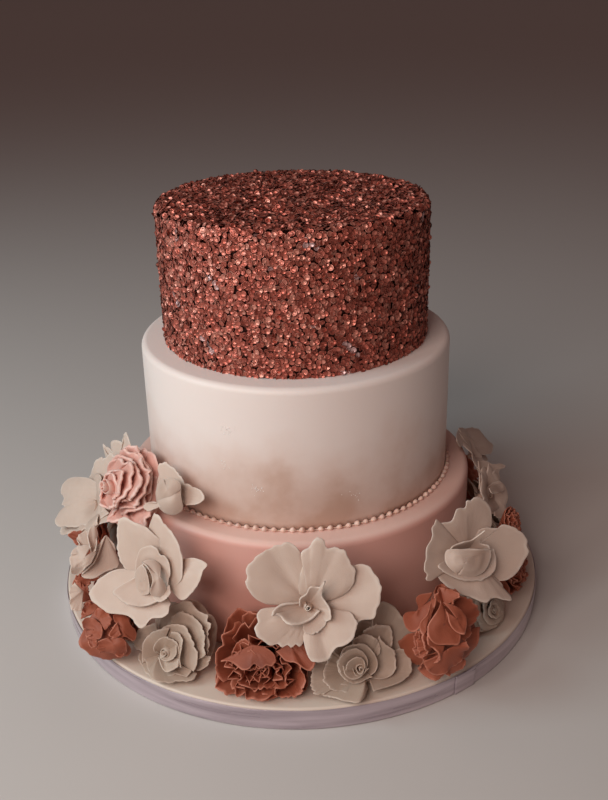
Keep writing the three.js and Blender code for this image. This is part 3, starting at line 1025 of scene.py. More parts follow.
@dataclass
class SequinTier:
    """The top tier: a core crusted with pressed sugar sequins.

    Attributes:
        core_drop: How far the core lies inside the frame's solid.
        gap_shade_tone: The core's tone, near the darkest, so the core shows as painted shade
            between the sequins.
        rim: Radius of the core's upper edge.
        radius: A sequin's mean radius.
        pitch: Mean distance between sequins.
        sides: Corners of a sequin.
        pieces: How many meshes share the sequins.
        lean: How far sequins lean from the core, in degrees, as a standard deviation.
        loose: The share that lean more, and how many times more.
        lid_lean: How many times more those on the top face lean.
        lip: Radius of a sequin's raised ring, as a share of its own, and the width beyond it over
            which painted shade grows towards the sequin's edge.
        tones: The darkest tone, and how far tones spread over it.
        shining: The share of sequins that shine lilac within a cluster.
    """

    core_drop: float = 1.6
    gap_shade_tone: float = 0.05
    rim: float = 3.2
    radius: float = 1.95
    pitch: float = 2.55
    sides: int = 9
    pieces: int = 5
    lean: float = 14.0
    loose: tuple[float, float] = (0.07, 2.1)
    lid_lean: float = 1.4
    lip: tuple[float, float] = (0.82, 0.11)
    tones: tuple[float, float] = (0.3, 0.45)
    shining: float = 0.35

    def core(self) -> Disc:
        """The tier without its sequins."""
        return Disc(TOP.radius - self.core_drop, TOP.foot, TOP.top - self.core_drop)

    def places(self, rng: np.random.Generator) -> tuple[Array, Array]:
        """Where the sequins lie: rows along the tier's section, each row once round.

        Args:
            rng: Where the jitter comes from.

        Returns:
            Points on the core, and the core's normals there.
        """
        core = self.core()
        side = core.top - core.foot - self.rim
        bend = self.rim * np.pi / 2
        lid = core.radius - self.rim
        rows = np.arange(0.7, side + bend + lid - 1, self.pitch * 0.88)
        points, normals = [], []
        for length in rows:
            ring = core.radius
            if length >= side + bend:
                ring = core.radius - self.rim - (length - side - bend)
            count = max(4, round(2 * np.pi * ring / self.pitch))
            stray = rng.uniform(-0.5, 0.5, (2, count)) * self.pitch
            s = np.clip(length + stray[0], 0.4, side + bend + lid)
            turn = (np.arange(count) + rng.uniform()) * 2 * np.pi / count + stray[1] / ring
            tilt = np.clip((s - side) / bend, 0, 1) * np.pi / 2
            inwards = np.clip(s - side - bend, 0, None)
            r = core.radius - self.rim + self.rim * np.cos(tilt) - inwards
            z = core.foot + np.minimum(s, side) + self.rim * np.sin(tilt)
            points.append(np.stack([r * np.cos(turn), r * np.sin(turn), z], 1))
            out = np.cos(tilt)
            normals.append(np.stack([out * np.cos(turn), out * np.sin(turn), np.sin(tilt)], 1))
        return np.concatenate(points), np.concatenate(normals)

    def sequin(self) -> tuple[Array, Array, Array]:
        """One sequin of radius one: a dished disc with a raised rim.

        Returns:
            Its vertices, its quads and its triangles.
        """
        around = rounds(self.sides)
        rings = [(0.66, 0.05), (self.lip[0], 0.24), (1.0, 0.1), (0.93, 0.0)]
        east, north = np.cos(around), np.sin(around)
        circles = [np.stack([r * east, r * north, 0 * around + z], 1) for r, z in rings]
        points = np.concatenate([[[0, 0, 0.04], [0, 0, 0]], *circles])
        step = np.arange(self.sides)
        after = (step + 1) % self.sides
        quads = []
        for k in range(len(rings) - 1):
            inner, outer = 2 + k * self.sides, 2 + (k + 1) * self.sides
            quads.append(np.stack([inner + step, outer + step, outer + after, inner + after], 1))
        last = 2 + (len(rings) - 1) * self.sides
        lid = np.stack([0 * step, 2 + step, 2 + after], 1)
        base = np.stack([0 * step + 1, last + after, last + step], 1)
        return points, np.concatenate(quads), np.concatenate([lid, base])

    def laid(self, rng: np.random.Generator) -> tuple[Array, Array]:
        """The sequins as they lie on the core.

        Each one's axis is the core's normal, leant along the core by the tangents of two
        random angles. It is spun about that axis, and its middle stands out farther the more
        it leans.

        Args:
            rng: Where the sizes, angles and tones come from.

        Returns:
            The corners of each sequin, (sequins, corners, 3), and the tone of each.
        """
        places, normals = self.places(rng)
        count = len(places)
        size = self.radius * rng.uniform(0.9, 1.08, count)
        lean = np.radians(rng.normal(0, self.lean, (2, count)))
        lean[:, rng.uniform(size=count) < self.loose[0]] *= self.loose[1]
        lean[:, normals[:, 2] > 0.9] *= self.lid_lean
        helper = np.where(np.abs(normals[:, 2:]) > 0.9, [[1.0, 0, 0]], [[0, 0, 1.0]])
        east = unit_rows(np.cross(helper, normals))
        north = np.cross(normals, east)
        tip = np.tan(lean)[..., None]
        up = unit_rows(normals + east * tip[0] + north * tip[1])
        east = unit_rows(east - up * np.sum(east * up, 1, keepdims=True))
        spin = rng.uniform(0, 2 * np.pi, count)[:, None]
        first = east * np.cos(spin) + np.cross(up, east) * np.sin(spin)
        second = np.cross(up, first)
        stand = 0.25 + 0.9 * rng.uniform(size=count) + 0.35 * size * np.abs(lean).max(0)
        tone = self.tones[0] + self.tones[1] * rng.uniform(0, 1, count)
        cluster = swell(6 * np.arctan2(places[:, 1], places[:, 0]), 8 * places[:, 2], rng, 6)
        shines = (cluster > 0.55) & (rng.uniform(size=count) < self.shining)
        shape = self.sequin()[0]
        corners = (
            shape[None, :, :1] * first[:, None] + shape[None, :, 1:2] * second[:, None]
            + shape[None, :, 2:] * up[:, None]
        ) * size[:, None, None]
        corners = corners + (places + normals * stand[:, None])[:, None]
        return corners, np.where(shines, LUSTRE_TONE, tone)

    def build(self) -> None:
        """Makes the core and the sequins."""
        glaze = SequinGlaze(
            "sequin_copper", "sugar_sequins", paint(52, 18, 13), paint(192, 104, 88),
            paint(252, 190, 170), paint(214, 176, 174), 0.55,
        )
        profile = rounded_profile(self.core(), self.rim, TOP.foot - MIDDLE.top, 10)
        core = turned(profile, rounds(120))
        # Painted shade: the core takes the darkest colour all over, where it shows in the gaps
        # between sequins.
        core.marks["tone"] = np.full(len(core.points), self.gap_shade_tone)
        core.marks["edge"] = np.ones(len(core.points))
        dress(make_object("top_tier_core", core), glaze, ["top_tier"])
        corners, tone = self.laid(np.random.default_rng(21))
        shape, quads, triangles = self.sequin()
        # Painted shade: each sequin darkens from its raised ring out to its edge and underside.
        edge = np.hypot(shape[:, 0], shape[:, 1]) - self.lip[0]
        edge = np.clip(edge / self.lip[1], 0, 1)
        share = np.arange(len(tone)) % self.pieces
        for k in range(self.pieces):
            chosen = corners[share == k]
            starts = (np.arange(len(chosen)) * len(shape))[:, None, None]
            marks = {
                "tone": np.repeat(tone[share == k], len(shape)),
                "edge": np.tile(edge, len(chosen)),
            }
            shell = Shell(
                chosen.reshape(-1, 3), (quads[None] + starts).reshape(-1, 4),
                (triangles[None] + starts).reshape(-1, 3), marks,
            )
            dress(make_object(f"top_tier_sequins_{k + 1}", shell), glaze, ["top_tier"])


@dataclass
class GlitterFlecks:
    """A few flakes of edible glitter on the middle tier.

    Attributes:
        patches: Each patch's turn in degrees, height, spread and number of flakes.
        size: A flake's mean radius.
        stand_off: How far a flake's middle stands off the icing.
        half_thick: Half its thickness.
    """

    patches: tuple = ((-113.6, 168.5, 5.0, 22), (-115.6, 143.5, 3.0, 9), (-104.2, 129.0, 4.5, 20),
                      (-70.0, 121.0, 7.0, 12), (40.0, 130.0, 8.0, 16), (150.0, 140.0, 7.0, 12))
    size: float = 0.3
    stand_off: float = 0.22
    half_thick: float = 0.06

    def build(self) -> None:
        """Makes six-sided flakes, each standing a little off the icing at its own tilt."""
        rng = np.random.default_rng(31)
        shells = []
        around = rounds(6)
        disc = np.stack([np.cos(around), np.sin(around)], 1)
        for turn, height, spread, number in self.patches:
            for _ in range(number):
                t = math.radians(turn) + rng.normal(0, spread / 2) / MIDDLE.radius
                z = height + rng.normal(0, spread / 2)
                out = direction(math.degrees(t) + rng.normal(0, 14), rng.normal(0, 14))
                east = unit_rows(np.cross([0, 0, 1.0], out))
                north = np.cross(out, east)
                centre = direction(math.degrees(t), 0) * (MIDDLE.radius + self.stand_off)
                centre[2] = z
                size = self.size * rng.uniform(0.5, 1.3)
                ring = centre + size * (disc[:, :1] * east + disc[:, 1:] * north)
                half = self.half_thick * out
                points = np.concatenate([ring + half, ring - half])
                step = np.arange(6)
                after = (step + 1) % 6
                sides = np.stack([step + 6, after + 6, after, step], 1)
                caps = np.array([[0, k, k + 1] for k in range(1, 5)])
                shells.append(Shell(points, sides, np.concatenate([caps, caps[:, ::-1] + 6])))
        shell = joined(shells)
        shell.marks["tone"] = np.full(len(shell.points), LUSTRE_TONE)
        glitter = SequinGlaze(
            "glitter_pearl", "ivory_icing", paint(230, 210, 200), paint(240, 226, 216),
            paint(250, 244, 238), paint(255, 250, 246), 0.05,
        )
        dress(make_object("glitter_flecks", shell), glitter, [])


# ---- Petals --------------------------------------------------------------------------

Marks = dict[str, Array]
EVEN = 6  # columns to either side over which a rim's distance is smoothed
OUTER_RIM = 0.8  # a rolled petal is an outer one if its rim lies farther out than this
OUTER_OPENING = 40  # and a cupped one if it leaves its root at more than this from the axis


def from_axis(points: Sequence[Sequence[float]]) -> Array:
    """Points given by turn and reach, as x and y.

    Args:
        points: The turn in degrees and the reach in hundredths, (n, 2).

    Returns:
        x and y in whole ones, (n, 2).
    """
    turn, reach = np.array(points, float).T
    turn, reach = np.radians(turn), reach / 100
    return np.stack([reach * np.cos(turn), reach * np.sin(turn)], -1)


def smooth_line(knots: Array, count: int) -> Array:
    """Points evenly spaced along a smooth line through knots.

    Between two knots the line is the cubic whose slopes at them are those of the chord
    between each one's neighbours, and the parameter is the length along the chords.

    Args:
        knots: The knots, (n, dimensions).
        count: How many points to give.

    Returns:
        The points, (count, dimensions).
    """
    lengths = np.concatenate([[0], np.cumsum(np.linalg.norm(np.diff(knots, axis=0), axis=1))])
    slopes = np.gradient(knots, lengths, axis=0)
    at = np.linspace(0, lengths[-1], count)
    k = np.clip(np.searchsorted(lengths, at, side="right") - 1, 0, len(knots) - 2)
    span = (lengths[k + 1] - lengths[k])[:, None]
    s = (at - lengths[k])[:, None] / span
    near = (1 + 2 * s) * (1 - s) ** 2 * knots[k] + s * (1 - s) ** 2 * span * slopes[k]
    far = s * s * (3 - 2 * s) * knots[k + 1] + s * s * (s - 1) * span * slopes[k + 1]
    return near + far


def petal_marks(across: Array, along: Array, depth: Array, rng: np.random.Generator) -> Marks:
    """The numbers that a petal's finish reads.

    Args:
        across: Where a point lies across the petal, in shares of the flower's radius.
        along: Where it lies from root to rim, from 0 to 1.
        depth: How far it lies into the flower's middle, from 0 to 1, which sets the painted shade
            there.
        rng: Where the petal's own tone comes from.

    Returns:
        The marks across, along, rim (a painted highlight at the thin edge), throat (painted shade
        with a deeper tint towards the middle) and tone.
    """
    return {
        "across": across + 7 * rng.uniform(), "along": along,
        # A painted highlight at the rim, and painted shade with a deeper tint towards the flower's
        # middle.
        "rim": smoothstep(0.93, 1.0, along), "throat": depth,
        "tone": np.full(along.shape, rng.uniform()),
    }


@dataclass(frozen=True)
class TracedPetal:
    """A petal set out by its rim, measured from the flower's eye.

    Turns are in degrees, and reaches and heights in hundredths of the flower's radius.

    Attributes:
        rim: Turn and reach of each point of its rim, from one side of its root to the other.
        high: Heights along the rim, evenly spaced.
        root: Turn, reach and height where it starts.
        rise: Under one it climbs near its root, over one it falls near its rim, as a dome does.
        belly: How far it bulges halfway.
        crease: Depth of the fold along its middle.
        ruffle: Height of the waves near its rim.
        lip: How much thicker its rim is.
        level: Height of the flower's eye over its root.
    """

    rim: tuple[float, ...]
    high: tuple[float, ...]
    root: tuple[float, float, float] = (0, 4, -26)
    rise: float = 0.5
    belly: float = 0.0
    crease: float = 0.0
    ruffle: float = 0.008
    lip: float = 0.0
    level: float = 0.3

    def grid(self, rows: int, columns: int, rng: np.random.Generator) -> tuple[Array, Marks]:
        """The petal's middle surface in its flower's own axes.

        A point a share v of the way from the root to a point of the rim lies on the straight
        line between them as seen along the flower's axis, and its height has gone a share
        w^rise of the way, where w is its distance over the rim's, smoothed along the rim.
        Small teeth run along the rim, and belly, crease and waves are added to the height.

        Args:
            rows: Points along it.
            columns: Points across it.
            rng: Where its unevenness comes from.

        Returns:
            Points as (rows, columns, 3), and the marks of each point.
        """
        high = np.stack([np.arange(len(self.high)), self.high], 1) / 100
        high = smooth_line(high, columns)[:, 1:]
        rim = smooth_line(from_axis(np.reshape(self.rim, (-1, 2))), columns)
        line = np.concatenate([rim, high], 1)[None]
        root = np.append(from_axis([self.root[:2]]), self.root[2] / 100)
        u = np.linspace(0, 1, columns)[None]
        v = (0.03 + 0.97 * (1 - (1 - np.linspace(0, 1, rows)) ** 1.3))[:, None]
        torn = 0.3 + 0.7 * smoothstep(-0.3, 0.7, wander(2 * u - 1, rng, 9))
        ragged = 0.03 + 0.5 * self.ruffle
        nicks = wander(2 * u - 1, rng, 37) + 0.5 * wander(2 * u - 1, rng, 67)
        teeth = 1 + ragged * torn * nicks * v**9
        reach = np.linalg.norm((line - root)[..., :2], axis=-1)
        even = np.pad(reach[0], 2 * EVEN, "edge")
        for _ in range(2):
            even = np.convolve(even, np.full(2 * EVEN + 1, 1 / (2 * EVEN + 1)), "valid")
        climb = np.clip(v * reach / even, 0, 1.25) ** self.rise
        points = root + (line - root) * np.stack([v * teeth, v * teeth, climb], -1)
        phase = rng.uniform(0, 2 * np.pi, 3)
        wave = np.sin(9 * u + phase[0] + 2 * np.sin(5 * u + phase[1]))
        wave = wave + 0.5 * np.sin(23 * u + phase[2]) * v**3
        wave = wave + 0.7 * wander(2 * u - 1, rng, 31) * v**5
        bulge = self.belly * np.sin(np.pi * v) * (0.4 + 0.6 * np.sin(np.pi * u))
        height = self.ruffle * v**2.4 * wave + bulge
        height = height - self.crease * np.exp(-(((u - 0.5) / 0.07) ** 2)) * np.sin(np.pi * v)
        height = height + 0.012 * wander(2 * v - 1, rng, 6) * np.sin(np.pi * u)
        points[..., 2] += height * np.minimum(reach / 0.4, 1)
        out = np.hypot(points[..., 0], points[..., 1])
        # Painted shade, with a deeper tint, near the flower's axis.
        depth = 0.8 * (1 - smoothstep(0.05, 0.4, out))
        marks = petal_marks(1.5 * u + 0 * v, v + 0 * u, depth, rng)
        marks["thick"] = 1 + self.lip * smoothstep(0.7, 1, v + 0 * u)
        return points + [0, 0, self.level], marks


@dataclass(frozen=True)
class RolledPetal:
    """A rose petal: it stands up from its root and rolls outwards at its rim.

    Attributes:
        turn: Where its middle stands, in degrees.
        spread: Half the turn that it spans.
        root: Distance from the axis and height where it starts.
        knee: The point that it rises towards.
        rim: Where it ends.
        nip: How much shorter its sides are than its middle.
        lap: How far its one side lies outside the other.
        ruffle: Height of the waves along its rim.
        waves: How many waves there are.
    """

    turn: float
    spread: float
    root: tuple[float, float]
    knee: tuple[float, float]
    rim: tuple[float, float]
    nip: float = 0.22
    lap: float = 0.05
    ruffle: float = 0.015
    waves: float = 2.0

    def grid(self, rows: int, columns: int, rng: np.random.Generator) -> tuple[Array, Marks]:
        """The petal's middle surface in its flower's own axes.

        Along the petal, distance and height follow the parabola that leaves the root towards
        the knee and comes from the knee to the rim. Across, the turn runs to the spread on
        either side, narrower at the root. The sides end sooner, the lap grows from side to
        side, and waves lift the rim along the parabola's normal.

        Args:
            rows: Points along it.
            columns: Points across it.
            rng: Where its unevenness comes from.

        Returns:
            Points as (rows, columns, 3), and the marks of each point.
        """
        u = np.linspace(-1, 1, columns)[None]
        v = np.linspace(0, 1, rows)[:, None] ** 0.9
        ends = 1 - self.nip * np.abs(u) ** 2.6
        w = v * (ends + 0.02 * wander(u, rng, 9) + 0.008 * wander(u, rng, 27))
        near, far = np.array(self.knee) - self.root, np.array(self.rim) - self.knee
        out, high = (
            (1 - w) ** 2 * self.root[k] + 2 * w * (1 - w) * self.knee[k] + w * w * self.rim[k]
            for k in (0, 1)
        )
        slope_out, slope_high = ((1 - w) * near[k] + w * far[k] for k in (0, 1))
        slope = np.maximum(np.hypot(slope_out, slope_high), 1e-6)
        phase = rng.uniform(0, 2 * np.pi, 3)
        wave = np.sin(np.pi * self.waves * u + phase[0] + np.sin(2.1 * u + phase[1]))
        wave = wave + 0.35 * np.sin(np.pi * 2.3 * self.waves * u + phase[2]) * v**4
        lift = self.ruffle * v**3 * wave * (0.7 + 0.3 * wander(u, rng, 6))
        lift = lift + 0.012 * wander(2 * v - 1, rng, 5) * wander(u, rng, 5)
        out = out * (1 + self.lap * u * v) - slope_high / slope * lift
        high = high + slope_out / slope * lift
        middle = 0.5 * self.lap * wander(2 * v - 1, rng, 4)
        widen = 0.4 + 0.6 * np.sin(np.pi / 2 * v**0.6)
        turn = np.radians(self.turn + self.spread * (u + middle) * widen)
        # Painted shade, with a deeper tint, low in the petal near its root.
        depth = 0.9 * (1 - smoothstep(0.3, 0.85, w))
        marks = petal_marks(u * self.spread / 60 + 0 * v, v + 0 * u, depth, rng)
        return np.stack([out * np.cos(turn), out * np.sin(turn), high], -1), marks

    def varied(self, turn: float, stray: Array) -> RolledPetal:
        """One like it at another turn, its rim and knee moved a little.

        Args:
            turn: Where it stands, in degrees.
            stray: Five random numbers from -1 to 1.

        Returns:
            The new petal.
        """
        rim = (self.rim[0] * (1 + 0.05 * stray[1]), self.rim[1] + 0.05 * stray[2])
        knee = (self.knee[0], self.knee[1] + 0.04 * stray[3])
        return replace(self, turn=turn, knee=knee, rim=rim)

    def drawn_in(self, scale: float) -> RolledPetal:
        """The same petal held close behind others."""
        return replace(self, knee=(0.5, 0.5), rim=(scale * self.rim[0], 0.8 * self.rim[1]))

    @property
    def outer(self) -> bool:
        """Whether it is one of the outer petals."""
        return self.rim[0] > OUTER_RIM


@dataclass(frozen=True)
class Petal:
    """A cupped petal, in shares of its flower's radius and degrees from the flower's axis.

    Attributes:
        turn: Where it stands round the axis, from the flower's right hand upwards.
        reach: Its length.
        half_width: Half its width where it is widest.
        opening: Its angle from the axis at its root and at its tip.
        root: How far from the axis it starts.
        wrap: How far its section follows a circle round the axis, from 0 to 1.
        cup: How high its sides rise over its midrib.
        roll: Degrees by which its rim turns outwards.
        nip: How much shorter its sides are than its midrib.
        lap: How far its one side lies above the other.
        ruffle: Height of the waves along its rim.
        waves: How many waves there are.
        ragged: Depth of the nicks in its rim.
    """

    turn: float
    reach: float
    half_width: float
    opening: tuple[float, float]
    root: float = 0.06
    wrap: float = 0.0
    cup: float = 0.1
    roll: float = 0.0
    nip: float = 0.3
    lap: float = 0.0
    ruffle: float = 0.03
    waves: float = 2.0
    ragged: float = 0.02

    def grid(self, rows: int, columns: int, rng: np.random.Generator) -> tuple[Array, Marks]:
        """The petal's middle surface in its flower's own axes.

        With u across from -1 to 1 and v along from 0 to 1, each line of constant u leaves the
        root at one angle from the axis, bends evenly to another and rolls out near the rim;
        its distance and height are the running sums of the sine and the cosine. Across, a
        point lies u times the half width to the side, bent round the axis by the wrap. Cup,
        lap and ruffle then lift it along the normal.

        Args:
            rows: Points along it.
            columns: Points across it.
            rng: Where its unevenness comes from.

        Returns:
            Points as (rows, columns, 3), and the marks of each point.
        """
        u = np.linspace(-1, 1, columns)[None]
        v = (1 - (1 - np.linspace(0, 1, rows)) ** 1.35)[:, None]
        nicks = wander(u, rng, 9) + 0.45 * wander(u, rng, 23) + 0.3 * wander(u, rng, 41)
        length = self.reach * (1 - self.nip * np.abs(u) ** 3) * (1 + self.ragged * nicks)
        slow = wander(u, rng, 4)
        start, end = (math.radians(a) for a in self.opening)
        roll = math.radians(self.roll) * smoothstep(0.62, 1, v) * (1 + 0.8 * u * u + 0.3 * slow)
        angle = start + (end - start) * v + roll + 0.12 * slow * v * v
        step = np.diff(v, axis=0, prepend=0) * length
        middle = (angle + np.roll(angle, 1, 0)) / 2
        middle[0] = angle[0]
        rho = self.root + np.cumsum(np.sin(middle) * step, 0)
        rise = np.cumsum(np.cos(middle) * step, 0)
        spread = 0.12 + 0.88 * np.sin(np.pi / 2 * v**0.8)
        width = self.half_width * spread * (1 + 1.5 * self.ragged * wander(2 * v - 1, rng, 7))
        across = u * width
        bend = self.wrap / np.maximum(np.abs(rho[:, columns // 2, None]), 0.04)
        swing = np.clip(across * bend, -2.6, 2.6)
        small = np.abs(bend) < 1e-3
        safe = np.where(small, 1, bend)
        sideways = np.where(small, across, np.sin(swing) / safe)
        inwards = np.where(small, 0, (1 - np.cos(swing)) / safe)
        phase = rng.uniform(0, 2 * np.pi, 4)
        wave = np.sin(np.pi * self.waves * u + phase[0] + 1.2 * np.sin(2.3 * u + phase[1]))
        wave = wave * (0.65 + 0.35 * wander(u, rng, 6))
        frill = np.sin(np.pi * 2.6 * self.waves * u + phase[2] + 1.3 * np.sin(3.1 * u + phase[3]))
        edge = np.maximum(v**2.6, 0.8 * np.abs(u) ** 5 * v)
        lift = self.ruffle * (edge * wave + 0.22 * v**8 * frill)
        lift = lift + self.cup * width * u * u + self.lap * u * v
        lift = lift + 0.02 * wander(2 * v - 1, rng, 5) * (1 - np.abs(u))
        out = rho - inwards - np.cos(angle) * lift
        high = rise + np.sin(angle) * lift
        t = math.radians(self.turn)
        x = out * math.cos(t) - sideways * math.sin(t)
        y = out * math.sin(t) + sideways * math.cos(t)
        # Painted shade, with a deeper tint, near the petal's root.
        depth = 0.9 * (1 - smoothstep(0.0, 0.6, v * self.reach)) + 0 * u
        marks = petal_marks(u * width / 0.5, v + 0 * u, depth, rng)
        # The painted rim highlight runs up the petal's sides as well.
        marks["rim"] = np.maximum(marks["rim"], smoothstep(0.93, 1.0, np.abs(u)) * v)
        return np.stack([x, y, high], -1), marks

    def varied(self, turn: float, stray: Array) -> Petal:
        """One like it at another turn, its size and opening moved a little.

        Args:
            turn: Where it stands, in degrees.
            stray: Five random numbers from -1 to 1.

        Returns:
            The new petal.
        """
        return replace(
            self, turn=turn, reach=self.reach * (1 + 0.06 * stray[1]),
            half_width=self.half_width * (1 + 0.08 * stray[2]),
            opening=(self.opening[0] + 3 * stray[3], self.opening[1] + 6 * stray[4]),
        )

    def drawn_in(self, scale: float) -> Petal:
        """The same petal, scaled."""
        return replace(self, reach=scale * self.reach)

    @property
    def outer(self) -> bool:
        """Whether it is one of the outer petals."""
        return self.opening[0] > OUTER_OPENING


@dataclass(frozen=True)
class Heart:
    """The rolled strip at the heart of a flower, in shares of its radius.

    Attributes:
        radius: Outside radius of the roll.
        height: Height of its rim above the flower's root.
        coils: How many times the strip goes round.
        hollow: Radius of the hole at its middle.
        flare: How far its rim leans out.
        close: How far it draws in to its tip, from 0 to 1.
        shift: Where it stands across the flower's axis.
    """

    radius: float
    height: float
    coils: float = 2.4
    hollow: float = 0.03
    flare: float = 0.03
    close: float = 0.0
    shift: tuple[float, float] = (0.0, 0.0)

    def grid(self, rows: int, columns: int, rng: np.random.Generator) -> tuple[Array, Marks]:
        """The strip's middle surface in its flower's own axes.

        Its radius shrinks evenly with the turn from the outside to the hollow, it is fullest
        two thirds of the way up, and its rim dips as it winds in.

        Args:
            rows: Points up the strip.
            columns: Points along it.
            rng: Where its unevenness comes from.

        Returns:
            Points as (rows, columns, 3), and the marks of each point.
        """
        u = np.linspace(0, 1, columns)[None]
        v = np.linspace(0, 1, rows)[:, None]
        turn = 2 * np.pi * self.coils * u + rng.uniform(0, 2 * np.pi) + 0 * v
        belly = 0.45 + 0.55 * np.sin(np.pi * (0.12 + 0.62 * v)) + 0 * u
        belly = belly * (1 - self.close * smoothstep(0.45, 1, v))
        ring = self.hollow + (self.radius - self.hollow) * (1 - u)
        r = ring * belly + self.flare * smoothstep(0.75, 1, v) * (0.4 + 0.6 * (1 - u))
        r = r * (1 + 0.07 * np.sin(3 * turn + 1.1))
        top = self.height * (1 - 0.1 * (1 - u) ** 2 + 0.03 * wander(2 * u - 1, rng, 14))
        z = 0.1 * self.height + v * (top - 0.1 * self.height)
        # Painted shade, with a deeper tint, low in the roll.
        marks = petal_marks(6 * u + 0 * v, v + 0 * u, 0.5 * (1 - v) + 0 * u, rng)
        x = self.shift[0] * v + r * np.cos(turn)
        y = self.shift[1] * v + r * np.sin(turn)
        return np.stack([x, y, z], -1), marks


Surface = Union[TracedPetal, RolledPetal, Petal, Heart]
FINENESS = {TracedPetal: (16, 55), RolledPetal: (11, 20), Petal: (9, 25), Heart: (9, 60)}


@dataclass(frozen=True)
class Row:
    """Petals evenly spaced round a flower, no two quite alike.

    Attributes:
        count: How many.
        after: Degrees from the flower's first outer petal to the row's first.
        petal: What each is like.
    """

    count: int
    after: float
    petal: RolledPetal | Petal

    def petals(self, first: float, rng: np.random.Generator) -> list[Surface]:
        """The row's petals.

        Args:
            first: The turn of the flower's first outer petal, in degrees.
            rng: Where the differences come from.

        Returns:
            The petals in order round the flower.
        """
        petals = []
        for k in range(self.count):
            stray = rng.uniform(-1, 1, 5)
            turn = first + self.after + 360 * k / self.count + 0.12 * stray[0] * 360 / self.count
            petals.append(self.petal.varied(turn, stray))
        return petals


# ---- Kinds of flower -----------------------------------------------------------------


class Kind(Enum):
    """The kinds of flower in the wreath."""

    OPEN = "open"
    CUP = "cup"
    ROSE = "rose"
    BLUSH = "blush"
    RUFFLED = "ruffled"
    BUD = "bud"


# Five broad outer petals that lie open, and three small ones round the eye.
OPEN_OUTER = Petal(
    0, 0.98, 0.58, (54, 92), nip=0.3, cup=0.06, ruffle=0.045, waves=1.6, ragged=0.022,
    lap=0.05, roll=12,
)
OPEN_ROWS = (Row(3, 30, Petal(
    0, 0.48, 0.28, (12, 58), nip=0.32, cup=0.3, wrap=0.5, ruffle=0.03, waves=1.5, roll=30
)),)

# Five rings of petals that roll over each other, round a tight heart.
ROLLED = RolledPetal(0, 50, (0.1, 0.05), (0.4, 0.9), (0.6, 0.6))
ROSE_ROWS = (
    Row(6, 0, replace(ROLLED, spread=44, knee=(0.8, 0.5), rim=(1.14, 0.16), ruffle=0.04,
                      waves=2.4, nip=0.2, lap=0.08)),
    Row(5, 30, replace(ROLLED, knee=(0.62, 0.84), rim=(0.95, 0.4), ruffle=0.03)),
    Row(5, 70, replace(ROLLED, knee=(0.42, 0.98), rim=(0.73, 0.58), ruffle=0.022)),
    Row(4, 15, replace(ROLLED, spread=60, knee=(0.24, 1.02), rim=(0.5, 0.71), ruffle=0.016)),
    Row(3, 50, replace(ROLLED, spread=76, knee=(0.1, 1.0), rim=(0.3, 0.79), ruffle=0.012)),
)

# Ruffled petals, the outer ones broad and smooth and the inner ones folded.
RUFFLE = Petal(0, 1, 0.5, (60, 20), root=0.1, wrap=0.5, nip=0.22, ruffle=0.12, waves=3.2,
               ragged=0.045, cup=0.08, lap=0.05)
RUFFLED_ROWS = (
    Row(6, 0, replace(RUFFLE, reach=1.15, half_width=0.6, opening=(86, 36), ruffle=0.06,
                      waves=2.6, roll=14)),
    Row(6, 25, replace(RUFFLE, reach=1.1, half_width=0.54, opening=(68, 18), ruffle=0.09,
                       roll=22)),
    Row(6, 5, replace(RUFFLE, reach=1.02, half_width=0.48, opening=(48, 4), waves=3.6, roll=20)),
    Row(5, 40, replace(RUFFLE, reach=0.96, half_width=0.42, opening=(30, -4), wrap=0.35,
                       roll=16)),
    Row(4, 10, replace(RUFFLE, reach=0.88, half_width=0.36, opening=(16, -4), waves=3.0,
                       wrap=0.2, root=0.05)),
    Row(3, 70, replace(RUFFLE, reach=0.82, half_width=0.26, opening=(4, 2), ruffle=0.1,
                       waves=2.4, wrap=0.1, root=0.04)),
)


# The flowers that are set out petal by petal.
FRONT_PETALS = (
    TracedPetal((103, 20, 96, 56, 99, 88, 106, 97, 112, 99, 134, 102, 147, 103, 152, 96, 156, 95,
        164, 85, 170, 74, 175, 62, 177, 39), (-12, 2, 0, 2, -15), crease=0.03),
    TracedPetal((21, 30, 33, 66, 41, 86, 36, 101, 32, 105, 23, 107, 2, 102, -3, 97, -10, 96,
        -15, 79, -21, 74, -22, 31), (-14, -2, 2, 3, -14), crease=0.02),
    TracedPetal((122, 21, 110, 37, 95, 68, 96, 77, 91, 84, 86, 88, 85, 93, 80, 99, 76, 97, 73, 91,
        60, 97, 44, 89, 37, 85, 30, 77, 20, 58, 16, 43, 19, 28), (-10, 7, 6, 7, -8), belly=0.03),
    TracedPetal((-166, 24, -176, 49, -180, 60, -173, 73, -165, 74, -162, 79, -142, 79, -135, 75,
        -130, 67, -124, 68, -119, 61, -114, 63, -108, 56, -103, 58, -99, 52, -105, 25),
        (-14, 3, 2, 1, -13), belly=0.02),
    TracedPetal((-13, 29, -10, 65, -15, 70, -32, 76, -48, 72, -56, 69, -70, 79, -87, 75, -96, 55,
        -104, 32), (-10, 9, 0, 3, -10), belly=0.02),
    TracedPetal((-20, 30, -39, 33, -71, 37, -80, 38, -100, 33, -113, 20), (3, 4, 4, 3, 0),
        (-60, 3, -10), ruffle=0.005, lip=0.5),
    TracedPetal((166, 12, 126, 18, 96, 21, 82, 33, 62, 37, 61, 50, 46, 29, -6, 32, -18, 34, -23, 35,
        -37, 32), (5, 12, 15, 22, 27, 16, 12, 12, 6), (40, 2, -12),
        rise=1.2, ruffle=0.004, lip=0.7),
    TracedPetal((146, 13, 174, 42, 179, 47, 187, 51, 188, 43, 210, 35, 294, 15, 349, 17),
        (2, 3, 5, 12, 12, 16, 14, 12, 8), (0, 0, -10), rise=1.6, ruffle=0.004, lip=1.6),
    Heart(0.085, 0.37, 1.3, 0.028, 0.0, close=0.35),
)
